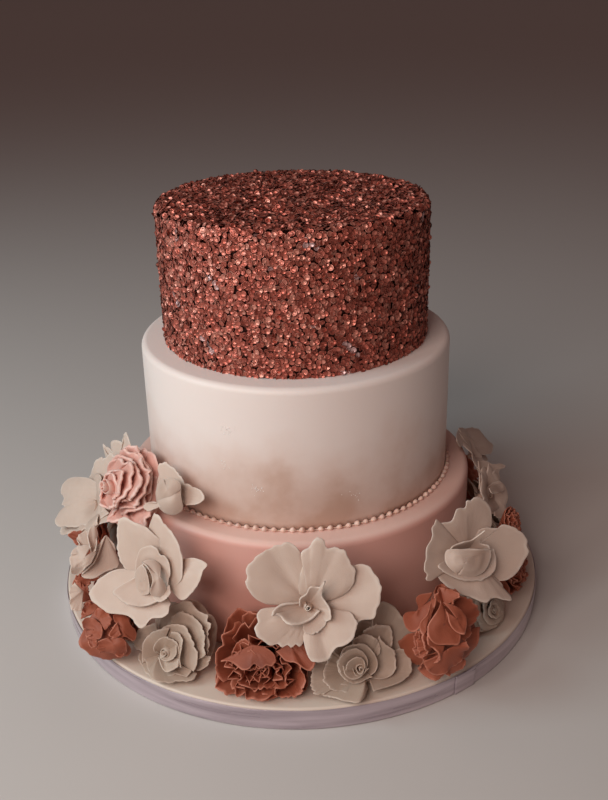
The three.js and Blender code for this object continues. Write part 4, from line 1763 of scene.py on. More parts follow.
LEFT_PETALS = (
    TracedPetal((58, 15, 28, 86, 25, 93, 20, 99, 17, 93, 10, 89, -11, 73, -22, 66, -26, 62, -25, 44,
        -49, 23), (-18, -2, 3, 2, -15)),
    TracedPetal((138, 20, 105, 67, 95, 92, 75, 79, 50, 70, 22, 59, 2, 52, -6, 46, -14, 37, -36, 20),
        (-15, 3, 3, 5, -12), belly=0.03),
    TracedPetal((-173, 33, -176, 58, -174, 67, -168, 83, -153, 112, -146, 110, -141, 105, -133, 97,
        -108, 74, -102, 74, -97, 79, -91, 82, -84, 77, -81, 70, -58, 66, -50, 63, -49, 57, -44, 55,
        -55, 33), (-15, 3, 2, 3, -10), crease=0.015),
    TracedPetal((-173, 50, -189, 63, -199, 72, -218, 88, -228, 100, -240, 87, -266, 65, -276, 58,
        -285, 49, -294, 37, -296, 18), (-14, 3, 6, 7, -10), ruffle=0.01, belly=0.02),
    TracedPetal((-167, 19, -140, 61, -133, 59, -104, 51, -88, 47, -70, 43, -49, 40),
        (6, 16, 8, 5, 3), (-90, 8, -6), rise=0.8, ruffle=0.008, lip=0.9),
    TracedPetal((-70, 28, -62, 38, -54, 43, -43, 46, -32, 47, -23, 46, -12, 38), (2, 8, 10, 9, 3),
        (-40, 10, -4), ruffle=0.006),
    TracedPetal((-162, 27, -222, 32, -241, 40, -259, 44, -275, 47, -286, 46, -298, 40, -304, 44,
        -319, 43, -331, 41, -374, 35), (2, 11, 14, 8, 3), (90, 3, -4), rise=1.1, ruffle=0.004),
    TracedPetal((115, 18, 147, 19, 186, 23, 221, 27, 259, 31, 291, 26, 314, 14, 364, 7, 434, 9,
        478, 17), (12, 8, 3, 2, 3, 8, 17, 20, 14), (-120, 12, 14), rise=1.6, ruffle=0.0),
    TracedPetal((106, 21, 70, 18, 29, 17, -3, 19, -55, 31, -43, 38, -28, 38, -10, 34, 17, 29,
        45, 28, 68, 27, 89, 25, 105, 22), (20, 29, 29, 14, 4, 3, 5, 9, 19), (10, 27, 22),
        rise=2.0, ruffle=0.0, lip=0.4),
    Heart(0.2, 0.44, 1.5, 0.04, 0.0, close=0.8, shift=(0.02, -0.04)),
)
RIGHT_PETALS = (
    TracedPetal((115, 24, 123, 64, 122, 85, 125, 98, 129, 96, 135, 99, 142, 92, 154, 99, 167, 100,
        171, 105, 176, 108, 180, 101, 184, 106, 188, 97, 185, 74, 189, 18), (-14, 6, 4, 5, -15),
        crease=0.02),
    TracedPetal((119, 33, 121, 82, 107, 72, 96, 84, 81, 84, 79, 92, 73, 94, 69, 100, 63, 102,
        56, 100, 47, 96, 40, 90, 34, 82, 28, 74, 26, 60, 27, 32), (-12, 5, 4, 2, -14)),
    TracedPetal((179, 14, 178, 63, 184, 77, 194, 76, 243, 71, 269, 82, 274, 79, 283, 85, 291, 100,
        298, 110, 301, 100, 300, 93, 305, 87, 307, 78, 315, 41), (-18, 3, 8, 12, -16), belly=0.02),
    TracedPetal((27, 25, 43, 52, 39, 57, 20, 79, 21, 85, 18, 91, 9, 104, 1, 115, -7, 121, -16, 121,
        -23, 116, -30, 110, -39, 100, -47, 90, -51, 83, -46, 39), (-12, 6, 4, 3, -14), belly=-0.02),
    TracedPetal((172, 47, 175, 76, 204, 56, 221, 49, 239, 44, 282, 45, 303, 48, 317, 50, 328, 49,
        356, 46), (0, 12, 9, 9, 5), (-100, 4, -12), rise=0.9, ruffle=0.004, lip=0.6),
    TracedPetal((155, 56, 149, 54, 128, 39, 94, 29, 73, 41, 55, 22, 13, 28, -4, 29),
        (10, 17, 20, 22, 26, 30, 25, 21, 16), (150, 6, -10), rise=1.2, ruffle=0.004, lip=0.5),
    TracedPetal((-156, 48, -177, 57, -190, 61, -201, 61, -204, 60, -213, 37, -268, 10, -366, 27,
        -385, 26, -434, 32, -458, 34, -493, 40, -515, 47), (2, 4, 19, 26, 23, 13, 3, 2, 2),
        (184, 34, 22), rise=2.0, ruffle=0.0, lip=0.5),
    Heart(0.16, 0.42, 1.4, 0.04, 0.0, close=0.7, shift=(0.1, 0.02)),
)
PEONY_FRONT = (
    TracedPetal((170, 42, 157, 51, 141, 57, 128, 61, 116, 61, 108, 53, 105, 39), (-5, -1, 2, 3, 0),
        (-165, 36, -50), ruffle=0.01),
    TracedPetal((152, 46, 169, 66, 165, 55, 171, 19, 148, 13, 111, 15, 33, 13, 36, 22, 23, 29,
        29, 38, 46, 43, 74, 45), (2, 9, 12, 15, 16, 17, 14, 5, 0), (102, 47, 4),
        ruffle=0.01, rise=1.4, lip=0.4),
    TracedPetal((46, 47, 20, 59, 17, 70, 4, 96, 8, 103, 30, 92), (-5, 4, 7, 9, 9, 4, -6, -12, -18),
        (40, 73, -12), ruffle=0.01, rise=1.3, lip=0.4),
)
ROSE_LEFT = (
    TracedPetal((-149, 104, -138, 103, -123, 97, -105, 87, -73, 90, -49, 93, -46, 85),
        (-35, 9, 21, 20, -33), (-128, 59, -68), rise=0.3, ruffle=0.02),
    TracedPetal((127, 74, 103, 80, 77, 94, 66, 92, 37, 96, 28, 89, 21, 82, 11, 82, -4, 81, -20, 74),
        (-40, -24, -22, -22, -35), (-135, 50, -80), ruffle=0.025),
    TracedPetal((-29, 56, -8, 86, -17, 88, -30, 85, -45, 77, -55, 59), (-30, -25, -29, -34, -40),
        (-114, 47, -74), ruffle=0.02),
    TracedPetal((-150, 90, -156, 106, -164, 108, -172, 104, -180, 94, -190, 79, -209, 59),
        (-30, -29, -25, -22, -20), (-134, 59, -75), ruffle=0.01),
    TracedPetal((112, 53, 87, 68, 69, 74, 53, 81, 39, 84, 27, 83, 10, 76, -2, 81, -20, 66),
        (-25, -13, -10, -12, -20), (-129, 50, -70), ruffle=0.015),
    TracedPetal((-134, 93, -149, 83, -165, 72, -184, 57, -211, 40, -256, 33),
        (-15, -11, -9, -6, -5), (-134, 56, -60), ruffle=0.01),
    TracedPetal((-139, 81, -121, 85, -97, 79, -82, 76, -72, 72, -59, 80, -42, 73),
        (-12, -4, 2, -17, -14), (-129, 56, -60), ruffle=0.02),
    TracedPetal((161, 41, 111, 38, 80, 45, 59, 53, 16, 57, 0, 63, -15, 68, -30, 73, -41, 75),
        (-15, -6, 1, -5, -15), (-124, 46, -60), ruffle=0.015),
    TracedPetal((90, 26, 57, 35, 37, 38, -40, 42, -49, 57), (0, 5, 6, 5, 0), (-124, 47, -50),
        ruffle=0.01),
    TracedPetal((-130, 47, -152, 40, -177, 29, -225, 17, -301, 16, -349, 24, -386, 31),
        (0, 3, 5, 5, 4), (-127, 45, -40), ruffle=0.008),
    TracedPetal((-120, 44, -102, 51, -85, 60, -69, 55, -52, 50, -42, 38), (0, 5, 7, 6, 2),
        (-117, 37, -30), ruffle=0.01, lip=0.8),
    TracedPetal((8, 20, -29, 28, -61, 33, -90, 36, -116, 37, -136, 32), (7, 8, 8, 7, 6),
        (-127, 39, -30), ruffle=0.006),
    Heart(0.13, 0.95, 2.2, 0.02, 0.02, shift=(-0.08, -0.2)),
)
ROSE_FRONT = (
    TracedPetal((-162, 110, -157, 113, -147, 100, -137, 87, -119, 70, -109, 62, -100, 51),
        (-40, -1, 15, 20, -7), (-103, 31, -56), rise=0.3, ruffle=0.02),
    TracedPetal((67, 63, 71, 76, 70, 97, 68, 110, 62, 114, 53, 111, 32, 103, 22, 102, 14, 100,
        7, 93, 1, 85, -2, 67), (-30, -30, -30, -30, -35), (-72, 22, -80), ruffle=0.01),
    TracedPetal((6, 68, 0, 84, -10, 88, -22, 92, -30, 89, -40, 81, -91, 54), (-32, -32, -14, 2, 3),
        (-86, 26, -66), ruffle=0.01),
    TracedPetal((167, 88, 180, 100, 197, 112, 202, 113, 208, 100), (-35, -35, -36, -33, -15),
        (-111, 28, -67), ruffle=0.02),
    TracedPetal((152, 66, 172, 76, 184, 81, 197, 86, 215, 79, 225, 69), (-20, -24, -25, -27, -8),
        (-108, 27, -65), ruffle=0.03),
    TracedPetal((89, 60, 72, 68, 58, 74, 46, 76, 37, 69, 16, 51, 8, 41), (-15, -15, -15, -18, -25),
        (-103, 19, -60), ruffle=0.012),
    TracedPetal((60, 52, 35, 46, 20, 51, -13, 55, -27, 56, -43, 54, -61, 46, -80, 38, -104, 46,
        -128, 55, -147, 64), (-10, -10, -16, -20, -24), (-106, 22, -55), ruffle=0.012),
    TracedPetal((129, 45, 114, 56, 98, 56, 66, 47, 53, 41, 30, 27), (-8, -5, -4, -5, -8),
        (-115, 16, -50), ruffle=0.02),
    TracedPetal((165, 57, 142, 60, 125, 53, 108, 46, 87, 32, 52, 19, -8, 16, -65, 22, -96, 28),
        (-5, 2, 0, -4, -10), (-119, 18, -45), ruffle=0.01),
    TracedPetal((163, 63, 185, 58, 203, 52, 223, 46, 277, 28), (-4, -2, -3, -5, -8),
        (-122, 16, -45), ruffle=0.01),
    TracedPetal((-176, 57, -192, 61, -208, 59, -224, 52, -238, 43, -245, 32, -247, 15, -202, 6,
        -137, 16), (0, 5, 6, 5, 2), (-140, 18, -35), ruffle=0.008),
    TracedPetal((170, 53, 190, 50, 205, 43, 217, 32, 229, 19, 225, 7), (3, 4, 5, 4, 3),
        (-149, 19, -30), ruffle=0.008),
    TracedPetal((179, 48, 163, 46, 148, 39, 136, 30, 138, 17, 181, 12, 212, 21), (6, 8, 9, 8, 5),
        (-151, 21, -25), ruffle=0.006),
    Heart(0.15, 0.93, 2.2, 0.02, 0.02, shift=(-0.22, -0.03)),
)
ROSE_BLUSH = (
    TracedPetal((-116, 47, -117, 76, -45, 54, -29, 75, -15, 90, 6, 76), (-40, -45, -45, -49, -50),
        (-157, 66, -78), ruffle=0.05, lip=2.2),
    TracedPetal((141, 95, 124, 92, 81, 77, 60, 78, 39, 78, 20, 74, 4, 73, -28, 45, -93, 43),
        (-50, -41, -36, -36, -40), (-166, 85, -78), ruffle=0.05, lip=2.2),
    TracedPetal((144, 88, 119, 80, 92, 74, 67, 79, 51, 85, 35, 88, 22, 86, 11, 79, -49, 31),
        (-40, -31, -22, -20, -25), (-167, 83, -70), ruffle=0.06, lip=2.2),
    TracedPetal((152, 82, 129, 71, 94, 65, 67, 71, 50, 78, 26, 91, 14, 68, -6, 38),
        (-30, -22, -14, -7, -12), (-168, 83, -60), ruffle=0.05, lip=2.2),
    TracedPetal((-175, 50, -154, 48, -138, 55, -125, 47, -53, 30, -13, 30),
        (-12, -12, -12, -12, -10), (-164, 84, -50), ruffle=0.03, lip=2.2),
    TracedPetal((157, 67, 132, 61, 104, 61, 81, 60, 69, 74, 41, 71, 29, 67, 14, 55, -44, 31),
        (-20, -12, -6, -4, -10), (-168, 81, -50), ruffle=0.03, lip=2.2),
    TracedPetal((165, 43, 125, 37, 84, 43, 59, 59, 33, 48, 17, 43, -12, 28), (-5, -1, 2, 4, 0),
        (-170, 75, -40), ruffle=0.01, lip=1.8),
    TracedPetal((165, 31, 132, 31, 97, 33, 71, 38, 50, 35, 31, 43, 20, 45, 11, 19), (0, 4, 5, 4, 0),
        (-173, 68, -35), ruffle=0.01, lip=1.8),
    Heart(0.2, 1.08, 2.4, 0.03, 0.03, close=0.3, shift=(0.1, 0.1)),
)
PEONY_RIGHT = (
    TracedPetal((20, 51, 48, 77, 69, 95, 90, 102, 113, 103, 139, 102, 164, 101, 186, 98, 208, 86,
        231, 63, 272, 37, 349, 36, 392, 62), (56, 20, -23, -40, -31, 9, 50, 63, 50), (133, 87, 76),
        rise=2.0, ruffle=0.07, lip=1.0),
    TracedPetal((74, 107, 62, 104, 56, 98, 49, 88, 58, 78, 70, 60, 80, 45, 104, 42),
        (23, 26, 61, 91, 103), (120, 81, 78), belly=0.05, ruffle=0.03),
    TracedPetal((143, 119, 152, 117, 161, 114, 169, 108, 171, 100), (54, 53, 53, 56, 68),
        (149, 78, 81), ruffle=0.05),
    TracedPetal((169, 101, 172, 95, 180, 99, 192, 98, 204, 91, 214, 80, 214, 67, 231, 50, 243, 34,
        201, 12), (70, 53, 58, 82, 101), (157, 63, 88), ruffle=0.07),
    TracedPetal((142, 117, 150, 116, 158, 112, 170, 100), (62, 62, 64, 67, 72), (148, 78, 84),
        ruffle=0.05),
    TracedPetal((172, 99, 183, 94, 200, 76, 200, 53, 197, 35, 147, 19, 114, 28, 106, 47),
        (74, 73, 79, 85, 96, 103, 107, 109, 107), (147, 68, 105), rise=1.6, ruffle=0.05),
    TracedPetal((105, 129, 115, 133, 132, 133, 141, 133, 147, 124, 132, 116, 107, 131),
        (25, 4, -8, -8, 44, 71, 76, 66, 44), (127, 133, 39), rise=2.0, ruffle=0.00, lip=0.5),
    TracedPetal((106, 131, 112, 123, 120, 121, 133, 117, 142, 123, 140, 126, 123, 127, 107, 131),
        (45, 68, 74, 78, 69, 65, 64, 59, 38), (127, 121, 68), rise=1.5, ruffle=0.02, lip=1.0),
    TracedPetal((107, 131, 104, 134, 100, 133, 89, 124, 85, 124, 90, 129, 83, 125, 79, 121, 93, 111,
        100, 118), (34, -9, 13, 53, 70), (104, 110, 53), rise=0.6, ruffle=0.05),
    TracedPetal((109, 133, 104, 135, 91, 131, 87, 126, 90, 120, 98, 116), (50, 33, 32, 55, 73),
        (103, 108, 58), ruffle=0.07, lip=0.8),
    TracedPetal((136, 120, 143, 120, 151, 116, 155, 111, 156, 101, 163, 100, 165, 104),
        (80, 79, 83, 94, 81), (145, 83, 89), ruffle=0.03, lip=1.0),
    TracedPetal((133, 120, 141, 116, 149, 108, 150, 99, 157, 83, 166, 78, 171, 84),
        (83, 88, 99, 108, 100), (143, 74, 96), ruffle=0.03, lip=1.0),
    TracedPetal((106, 129, 124, 127, 133, 125, 140, 117, 144, 105, 135, 70, 125, 58, 113, 62,
        113, 102, 109, 118), (66, 72, 77, 86, 103, 113, 113, 105, 83), (121, 104, 95),
        rise=2.0, ruffle=0.00),
    TracedPetal((106, 126, 97, 111, 93, 98, 92, 86, 96, 76, 107, 70, 114, 77, 115, 96, 110, 116),
        (72, 80, 87, 97, 107, 113, 111, 101, 87), (105, 98, 98), rise=1.8, ruffle=0.00, lip=0.8),
)
PEONY_LEFT = (
    TracedPetal((9, 98, 36, 86, 64, 75, 91, 62, 127, 43, 192, 32, 250, 53, 278, 83, 298, 102,
        317, 111, 332, 116, 354, 106, 379, 93), (-19, -2, 39, 76, 88, 70, 32, -11, -17),
        (5, 83, 96), rise=2.0, ruffle=0.07, lip=1.0),
    TracedPetal((161, 42, 141, 63, 132, 75, 122, 77, 116, 73, 110, 51), (87, 87, 82, 66, 74),
        (132, 38, 71), ruffle=0.05),
    TracedPetal((157, 40, 143, 56, 128, 70, 117, 71, 104, 66, 64, 71, 46, 69, 40, 53, 46, 31,
        90, 17), (84, 83, 70, 56, 73, 91, 110, 118, 114), (79, 48, 101), rise=1.8, ruffle=0.05),
    TracedPetal((115, 33, 136, 54, 128, 70, 121, 73, 115, 69, 119, 56), (101, 85, 78, 68, 66),
        (130, 37, 69), ruffle=0.05, lip=0.8),
    TracedPetal((-28, 75, -35, 85, -25, 90, -21, 102, -23, 120, -22, 128, -16, 128),
        (123, 116, 107, 84, 70), (-14, 95, 96), ruffle=0.05),
    TracedPetal((21, 27, 16, 16, 110, 14, 125, 26, 78, 32, 23, 67, 14, 73, 0, 71, -19, 46, -21, 34,
        -1, 19), (127, 119, 109, 117, 122, 121, 127, 131, 128), (15, 46, 129),
        rise=1.5, ruffle=0.05, lip=0.6),
    TracedPetal((114, 63, 81, 65, 56, 79, 43, 87, 41, 79, 44, 66, 57, 54, 76, 52),
        (63, 75, 86, 88, 91, 96, 110, 112, 103), (49, 67, 110), rise=1.4, ruffle=0.07, lip=0.8),
    TracedPetal((-3, 44, -24, 35, -34, 49, -34, 65, -21, 69, -11, 65), (132, 133, 131, 130, 131),
        (-22, 47, 121), ruffle=0.07, lip=0.8),
    TracedPetal((57, 56, 69, 65, 60, 78, 50, 85, 39, 92, 28, 93, 16, 78),
        (116, 106, 99, 96, 98, 99, 105, 114, 123), (42, 64, 119), rise=1.2, ruffle=0.05, lip=0.8),
    TracedPetal((1, 97, 4, 123, 0, 133, -8, 134, -15, 131, -20, 123, -22, 110, -32, 87, -17, 68,
        1, 87), (117, 91, 66, 75, 99, 118, 127, 131, 123), (-6, 110, 108), rise=1.8, ruffle=0.05),
    TracedPetal((28, 96, 39, 95, 36, 110, 24, 126, 16, 131, 8, 134, 1, 133, 6, 123, 4, 112, 8, 102,
        19, 96), (107, 95, 69, 46, 46, 61, 89, 112, 112), (19, 114, 92),
        rise=1.8, ruffle=0.05, lip=0.4),
    TracedPetal((25, 107, 21, 102, 5, 98, 4, 108, 9, 118),
        (101, 109, 113, 117, 120, 121, 114, 107, 100), (16, 111, 101),
        rise=1.2, ruffle=0.03, lip=0.8),
)
BUD_PETALS = (
    TracedPetal((-142, 64, -197, 83, -213, 95, -217, 113, -223, 123, -233, 121, -249, 104, -269, 82,
        -295, 68, -337, 59), (-50, -39, -28, -36, -45), (-131, 38, -90), rise=0.6),
    TracedPetal((-19, 64, 53, 50, 46, 72, 32, 88, 25, 111, 19, 128, 12, 137, 4, 135, -2, 121,
        -18, 76), (-50, -45, -38, -40, -50), (-25, 17, -60), rise=0.8, lip=0.6),
    TracedPetal((-105, 64, -122, 62, -139, 84, -141, 104, -136, 114, -128, 110, -122, 98, -120, 76),
        (-30, -25, -28, -32, -35), (-104, 50, -40), rise=0.8, lip=0.8),
    TracedPetal((134, 49, 173, 56, 209, 61, 239, 69, 266, 72, 294, 79, 314, 83, 332, 82, 346, 74,
        366, 63, 391, 57, 415, 53, 453, 45), (-15, -34, -48, -50, -50, -50, -42, -23, -10),
        (-9, 42, 12), rise=2.2, ruffle=0.0),
    TracedPetal((119, 41, 167, 47, 199, 50, 227, 56, 242, 61, 279, 42, 346, 43, 368, 55, 383, 64,
        399, 65, 421, 52, 449, 44, 476, 41), (5, -13, -27, -24, 0, 16, 9, 4, 5), (11, 30, 29),
        rise=1.8, ruffle=0.0, lip=0.8),
    Heart(0.16, 1.12, 1.6, 0.02, 0.02, close=0.6, shift=(-0.14, 0.26)),
)
CUPPED_PETALS = (
    TracedPetal((-53, 89, -58, 93, -62, 106, -64, 118, -63, 131, -66, 147, -65, 163, -61, 169,
        -57, 169), (86, 94, 93, 94, 75), (-48, 120, 72), ruffle=0.03),
    TracedPetal((32, 97, 16, 106, 5, 107, -9, 97, -22, 84, -33, 82, -30, 98, -25, 109, -7, 125,
        -2, 140, 1, 145, 8, 141, 15, 131, 29, 134), (59, 91, 54, 13, 23), (43, 124, 39), rise=0.8),
    TracedPetal((15, 46, 29, 50, 42, 68, 64, 65, 68, 79, 66, 93, 60, 99, 51, 94),
        (126, 116, 86, 76, 60), (17, 80, 104), ruffle=0.02),
    TracedPetal((24, 106, 10, 109, 1, 106, -8, 95, -21, 81, -47, 60, -27, 54, -9, 44, 18, 46,
        31, 58, 35, 76, 33, 90, 29, 101), (80, 82, 102, 104, 90, 121, 127, 119, 94), (7, 90, 117),
        rise=1.8, ruffle=0.02),
    TracedPetal((26, 101, 60, 101, 64, 114, 62, 117, 54, 112, 45, 104, 32, 108, 21, 110),
        (106, 77, 61, 56, 93), (17, 95, 87), ruffle=0.01, lip=0.5),
)
LEFT_UPPER_PETALS = (
    TracedPetal((-5, 90, 3, 81, 9, 68, 9, 55, -2, 45, -21, 45, -35, 56, -38, 72, -35, 85, -29, 94,
        -21, 97, -11, 94, -2, 87), (81, 89, 103, 115, 117, 109, 94, 84, 82), (-10, 84, 122),
        rise=2.0, ruffle=0.07, lip=1.0),
    TracedPetal((85, 156, 90, 153, 93, 160, 99, 192, 96, 203, 93, 203, 89, 209),
        (108, 126, 135, 132, 112), (82, 183, 97), ruffle=0.03),
    TracedPetal((54, 62, 28, 54, 8, 84, 13, 87, 13, 92, 22, 92, 23, 106, 31, 116),
        (108, 107, 126, 75, 62), (45, 98, 81), ruffle=0.10, lip=0.8),
    TracedPetal((53, 63, 56, 51, 11, 30, -8, 64, -14, 81, -26, 90, -22, 105, -13, 114, -3, 107,
        11, 98, 8, 92, 13, 82, 28, 54), (106, 119, 132, 145, 135, 114, 117, 127, 105), (1, 88, 138),
        rise=1.6, ruffle=0.07, lip=0.8),
    TracedPetal((56, 51, 44, 42, 28, 47, 25, 63, 39, 58, 51, 62), (115, 116, 120, 109, 106),
        (41, 49, 111), ruffle=0.05, lip=1.0),
)
FAR_LEFT_PETALS = (
    TracedPetal((69, 104, 137, 148, 128, 135, 117, 121, 128, 146, 116, 148, 104, 147, 109, 159,
        107, 167, 99, 163, 92, 156, 78, 140), (-30, -28, -28, -31, -40), (97, 64, -50)),
    TracedPetal((-176, 129, -190, 104, -232, 107, -250, 106, -259, 119, -271, 119, -281, 98),
        (-25, -18, -12, -12, -25), (154, 36, -40), ruffle=0.015),
    TracedPetal((17, 112, -63, 42, -121, 108, -140, 191, -148, 182), (-20, -17, -12, -12, -25),
        (160, 14, -40), ruffle=0.015),
    TracedPetal((64, 62, 92, 48, 128, 57, 168, 100, 180, 134, 187, 154, 192, 161, 197, 157,
        199, 137, 202, 128, 206, 138, 208, 119, 212, 139, 216, 154, 220, 162, 226, 144, 230, 118,
        356, 46, 383, 90), (-15, 6, 6, -4, -20), (87, 21, -35), belly=0.08, lip=0.4),
)
FAR_RIGHT_PETALS = (
    TracedPetal((140, 112, 134, 161, 101, 90, 12, 122, -7, 201, -16, 250, -22, 251, -28, 285,
        -31, 259, -36, 151, -35, 63), (-20, 1, 2, 0, -10), (-16, 82, -30), belly=0.06, lip=0.4),
    TracedPetal((-22, 95, -32, 209, -36, 208, -42, 159, -75, 41), (-25, -22, -21, -23, -25),
        (-24, 117, -40)),
)
MIDDLE_PETALS = (
    TracedPetal((68, 93, 38, 103, 23, 110, 5, 154, 1, 163, 1, 148, 5, 124, 3, 110, -2, 106, -3, 78,
        48, 23, 133, 56), (-30, -14, -15, -17, -30), (59, 60, -45), ruffle=0.02),
    TracedPetal((150, 61, 32, 31, 5, 57, -8, 69, -37, 73, -62, 67, -75, 76, -111, 67, -133, 61),
        (-20, -7, 2, -5, -15), (-48, 21, -35), belly=0.05, ruffle=0.01),
    TracedPetal((142, 54, 154, 51, 161, 30, 327, 5, 344, 41, 358, 53),
        (5, 8, 10, 10, 10, 10, 9, 8, 5), (39, 22, 0), rise=1.2, ruffle=0.0),
)


class Behind(Enum):
    """Which of its kind's own petals stand behind the ones that are set out."""

    NONE = 0
    OUTER = 1
    ALL = 2


@dataclass(frozen=True)
class HandSet:
    """What is set out petal by petal in a flower.

    Attributes:
        petals: The petals that are set out.
        behind: Which of its kind's own stand behind them.
        scale: Size of those others.
    """

    petals: tuple[Surface, ...]
    behind: Behind = Behind.NONE
    scale: float = 0.78

    def all_petals(self, others: Sequence[Surface]) -> list[Surface]:
        """The kept ones of the others, drawn in, and then the ones that are set out.

        Args:
            others: The petals that the flower's kind gives.

        Returns:
            The flower's petals.
        """
        kept = [
            petal.drawn_in(self.scale) for petal in others
            if self.behind is not Behind.NONE and not isinstance(petal, Heart)
            and (petal.outer or self.behind is Behind.ALL)
        ]
        return kept + list(self.petals)


WHITE_PASTE = PetalPaste(
    "paste_ivory", "sugar_white", paint(212, 192, 178), paint(184, 158, 142), paint(226, 212, 200)
)
GREIGE_PASTE = PetalPaste(
    "paste_greige", "sugar_white", paint(190, 170, 154), paint(158, 132, 114),
    paint(212, 196, 182),
)
BLUSH_PASTE = PetalPaste(
    "paste_blush", "sugar_blush", paint(226, 174, 160), paint(200, 128, 112), paint(246, 216, 206)
)
RUST_PASTE = PetalPaste(
    "paste_rust", "sugar_rust", paint(166, 92, 68), paint(104, 44, 28), paint(204, 134, 112)
)


@dataclass(frozen=True)
class Design:
    """How a kind of flower is made. A cup and a bud are only ever set out petal by petal.

    Attributes:
        depth: From its eye back to its root, in shares of its radius.
        round: How far its outline bulges along its axis.
        count: How many outer petals it has, where they aren't given one by one.
        outer: What its outer petals are like, where each has its own turn.
        rows: Its other petals.
        hearts: What stands at its eye.
        finish: Its paste.
    """

    depth: float
    round: float
    count: int
    outer: Petal | None
    rows: tuple[Row, ...]
    hearts: tuple[Heart, ...]
    finish: PetalPaste

    def petals(self, turns: Sequence[float], rng: np.random.Generator) -> list[Surface]:
        """The petals of one flower.

        Args:
            turns: The turns of its outer petals.
            rng: Where the differences come from.

        Returns:
            Its petals from the outside in, then its hearts.
        """
        petals = []
        if self.outer:
            for turn in turns:
                petals += Row(1, 0, self.outer).petals(turn, rng)
        for row in self.rows:
            petals += row.petals(turns[0], rng)
        return petals + list(self.hearts)


OPEN_HEART = (Heart(0.09, 0.34, 1.5, 0.03, 0.02),)
ROSE_HEART = (Heart(0.15, 0.86, 2.0, 0.02, 0.03),)
DESIGNS = {
    Kind.OPEN: Design(0.3, 0.42, 5, OPEN_OUTER, OPEN_ROWS, OPEN_HEART, WHITE_PASTE),
    Kind.CUP: Design(0.9, 0.9, 4, OPEN_OUTER, OPEN_ROWS, (), WHITE_PASTE),
    Kind.ROSE: Design(0.85, 0.85, 5, None, ROSE_ROWS, ROSE_HEART, GREIGE_PASTE),
    Kind.BLUSH: Design(0.85, 0.85, 5, None, ROSE_ROWS, ROSE_HEART, BLUSH_PASTE),
    Kind.RUFFLED: Design(0.85, 0.85, 6, None, RUFFLED_ROWS, (), RUST_PASTE),
    Kind.BUD: Design(1.0, 1.0, 3, OPEN_OUTER, (), (), WHITE_PASTE),
}


# ---- Flowers in the wreath -----------------------------------------------------------

MEET = 1.4  # two flowers have a wall between them where their outlines, so much larger, touch


@dataclass(frozen=True)
class Wall:
    """A flat limit that a flower keeps to one side of.

    Attributes:
        point: A point on it.
        normal: Its normal, towards the flower.
    """

    point: Array
    normal: Array


@dataclass
class Flower:
    """One sugar flower.

    Attributes:
        name: The frame's node that it replaces.
        kind: Its kind.
        eye: Turn round the cake in degrees, distance from the cake's axis, and height.
        face: The way it looks: its turn and its rise above the horizon.
        size: Its radius.
        turns: Its outer petals' turns, or the first one's alone.
        hand_set: What is set out petal by petal, if anything is.
    """

    name: str
    kind: Kind
    eye: tuple[float, float, float]
    face: tuple[float, float]
    size: float
    turns: tuple[float, ...]
    hand_set: HandSet | None = None

    def __post_init__(self) -> None:
        """Works out the flower's axes, its root and the middle of its outline."""
        self.design = DESIGNS[self.kind]
        self.axis = direction(*self.face)
        self.side = unit_rows(np.cross([0.0, 0.0, 1.0], self.axis))
        self.up = np.cross(self.axis, self.side)
        turn, distance, height = self.eye
        centre = direction(turn, 0) * distance
        centre[2] = height
        self.root = centre - self.axis * self.design.depth * self.size
        self.middle = (centre + self.root) / 2
        if len(self.turns) == 1:
            count = self.design.count
            self.turns = tuple(self.turns[0] + 360 * k / count for k in range(count))

    def outline(self, towards: Array) -> tuple[float, Array]:
        """How far the flower reaches in a direction, as an ellipsoid flattened along its axis.

        Args:
            towards: A unit vector.

        Returns:
            The reach, and the ellipsoid's unit normal there.
        """
        axial = float(towards @ self.axis)
        lateral = towards - axial * self.axis
        reach = self.size / math.hypot(np.linalg.norm(lateral), axial / self.design.round)
        return reach, unit_rows(lateral + self.axis * axial / self.design.round**2)

    def wall(self, other: Flower) -> Wall | None:
        """The flat wall between two flowers that meet.

        Args:
            other: The other flower.

        Returns:
            The wall, or none where they are far apart.
        """
        apart = self.middle - other.middle
        distance = float(np.linalg.norm(apart))
        own, own_normal = self.outline(-apart / distance)
        their, their_normal = other.outline(apart / distance)
        if distance > MEET * (own + their):
            return None
        point = other.middle + apart * their / (own + their)
        return Wall(point, unit_rows(their_normal - own_normal))


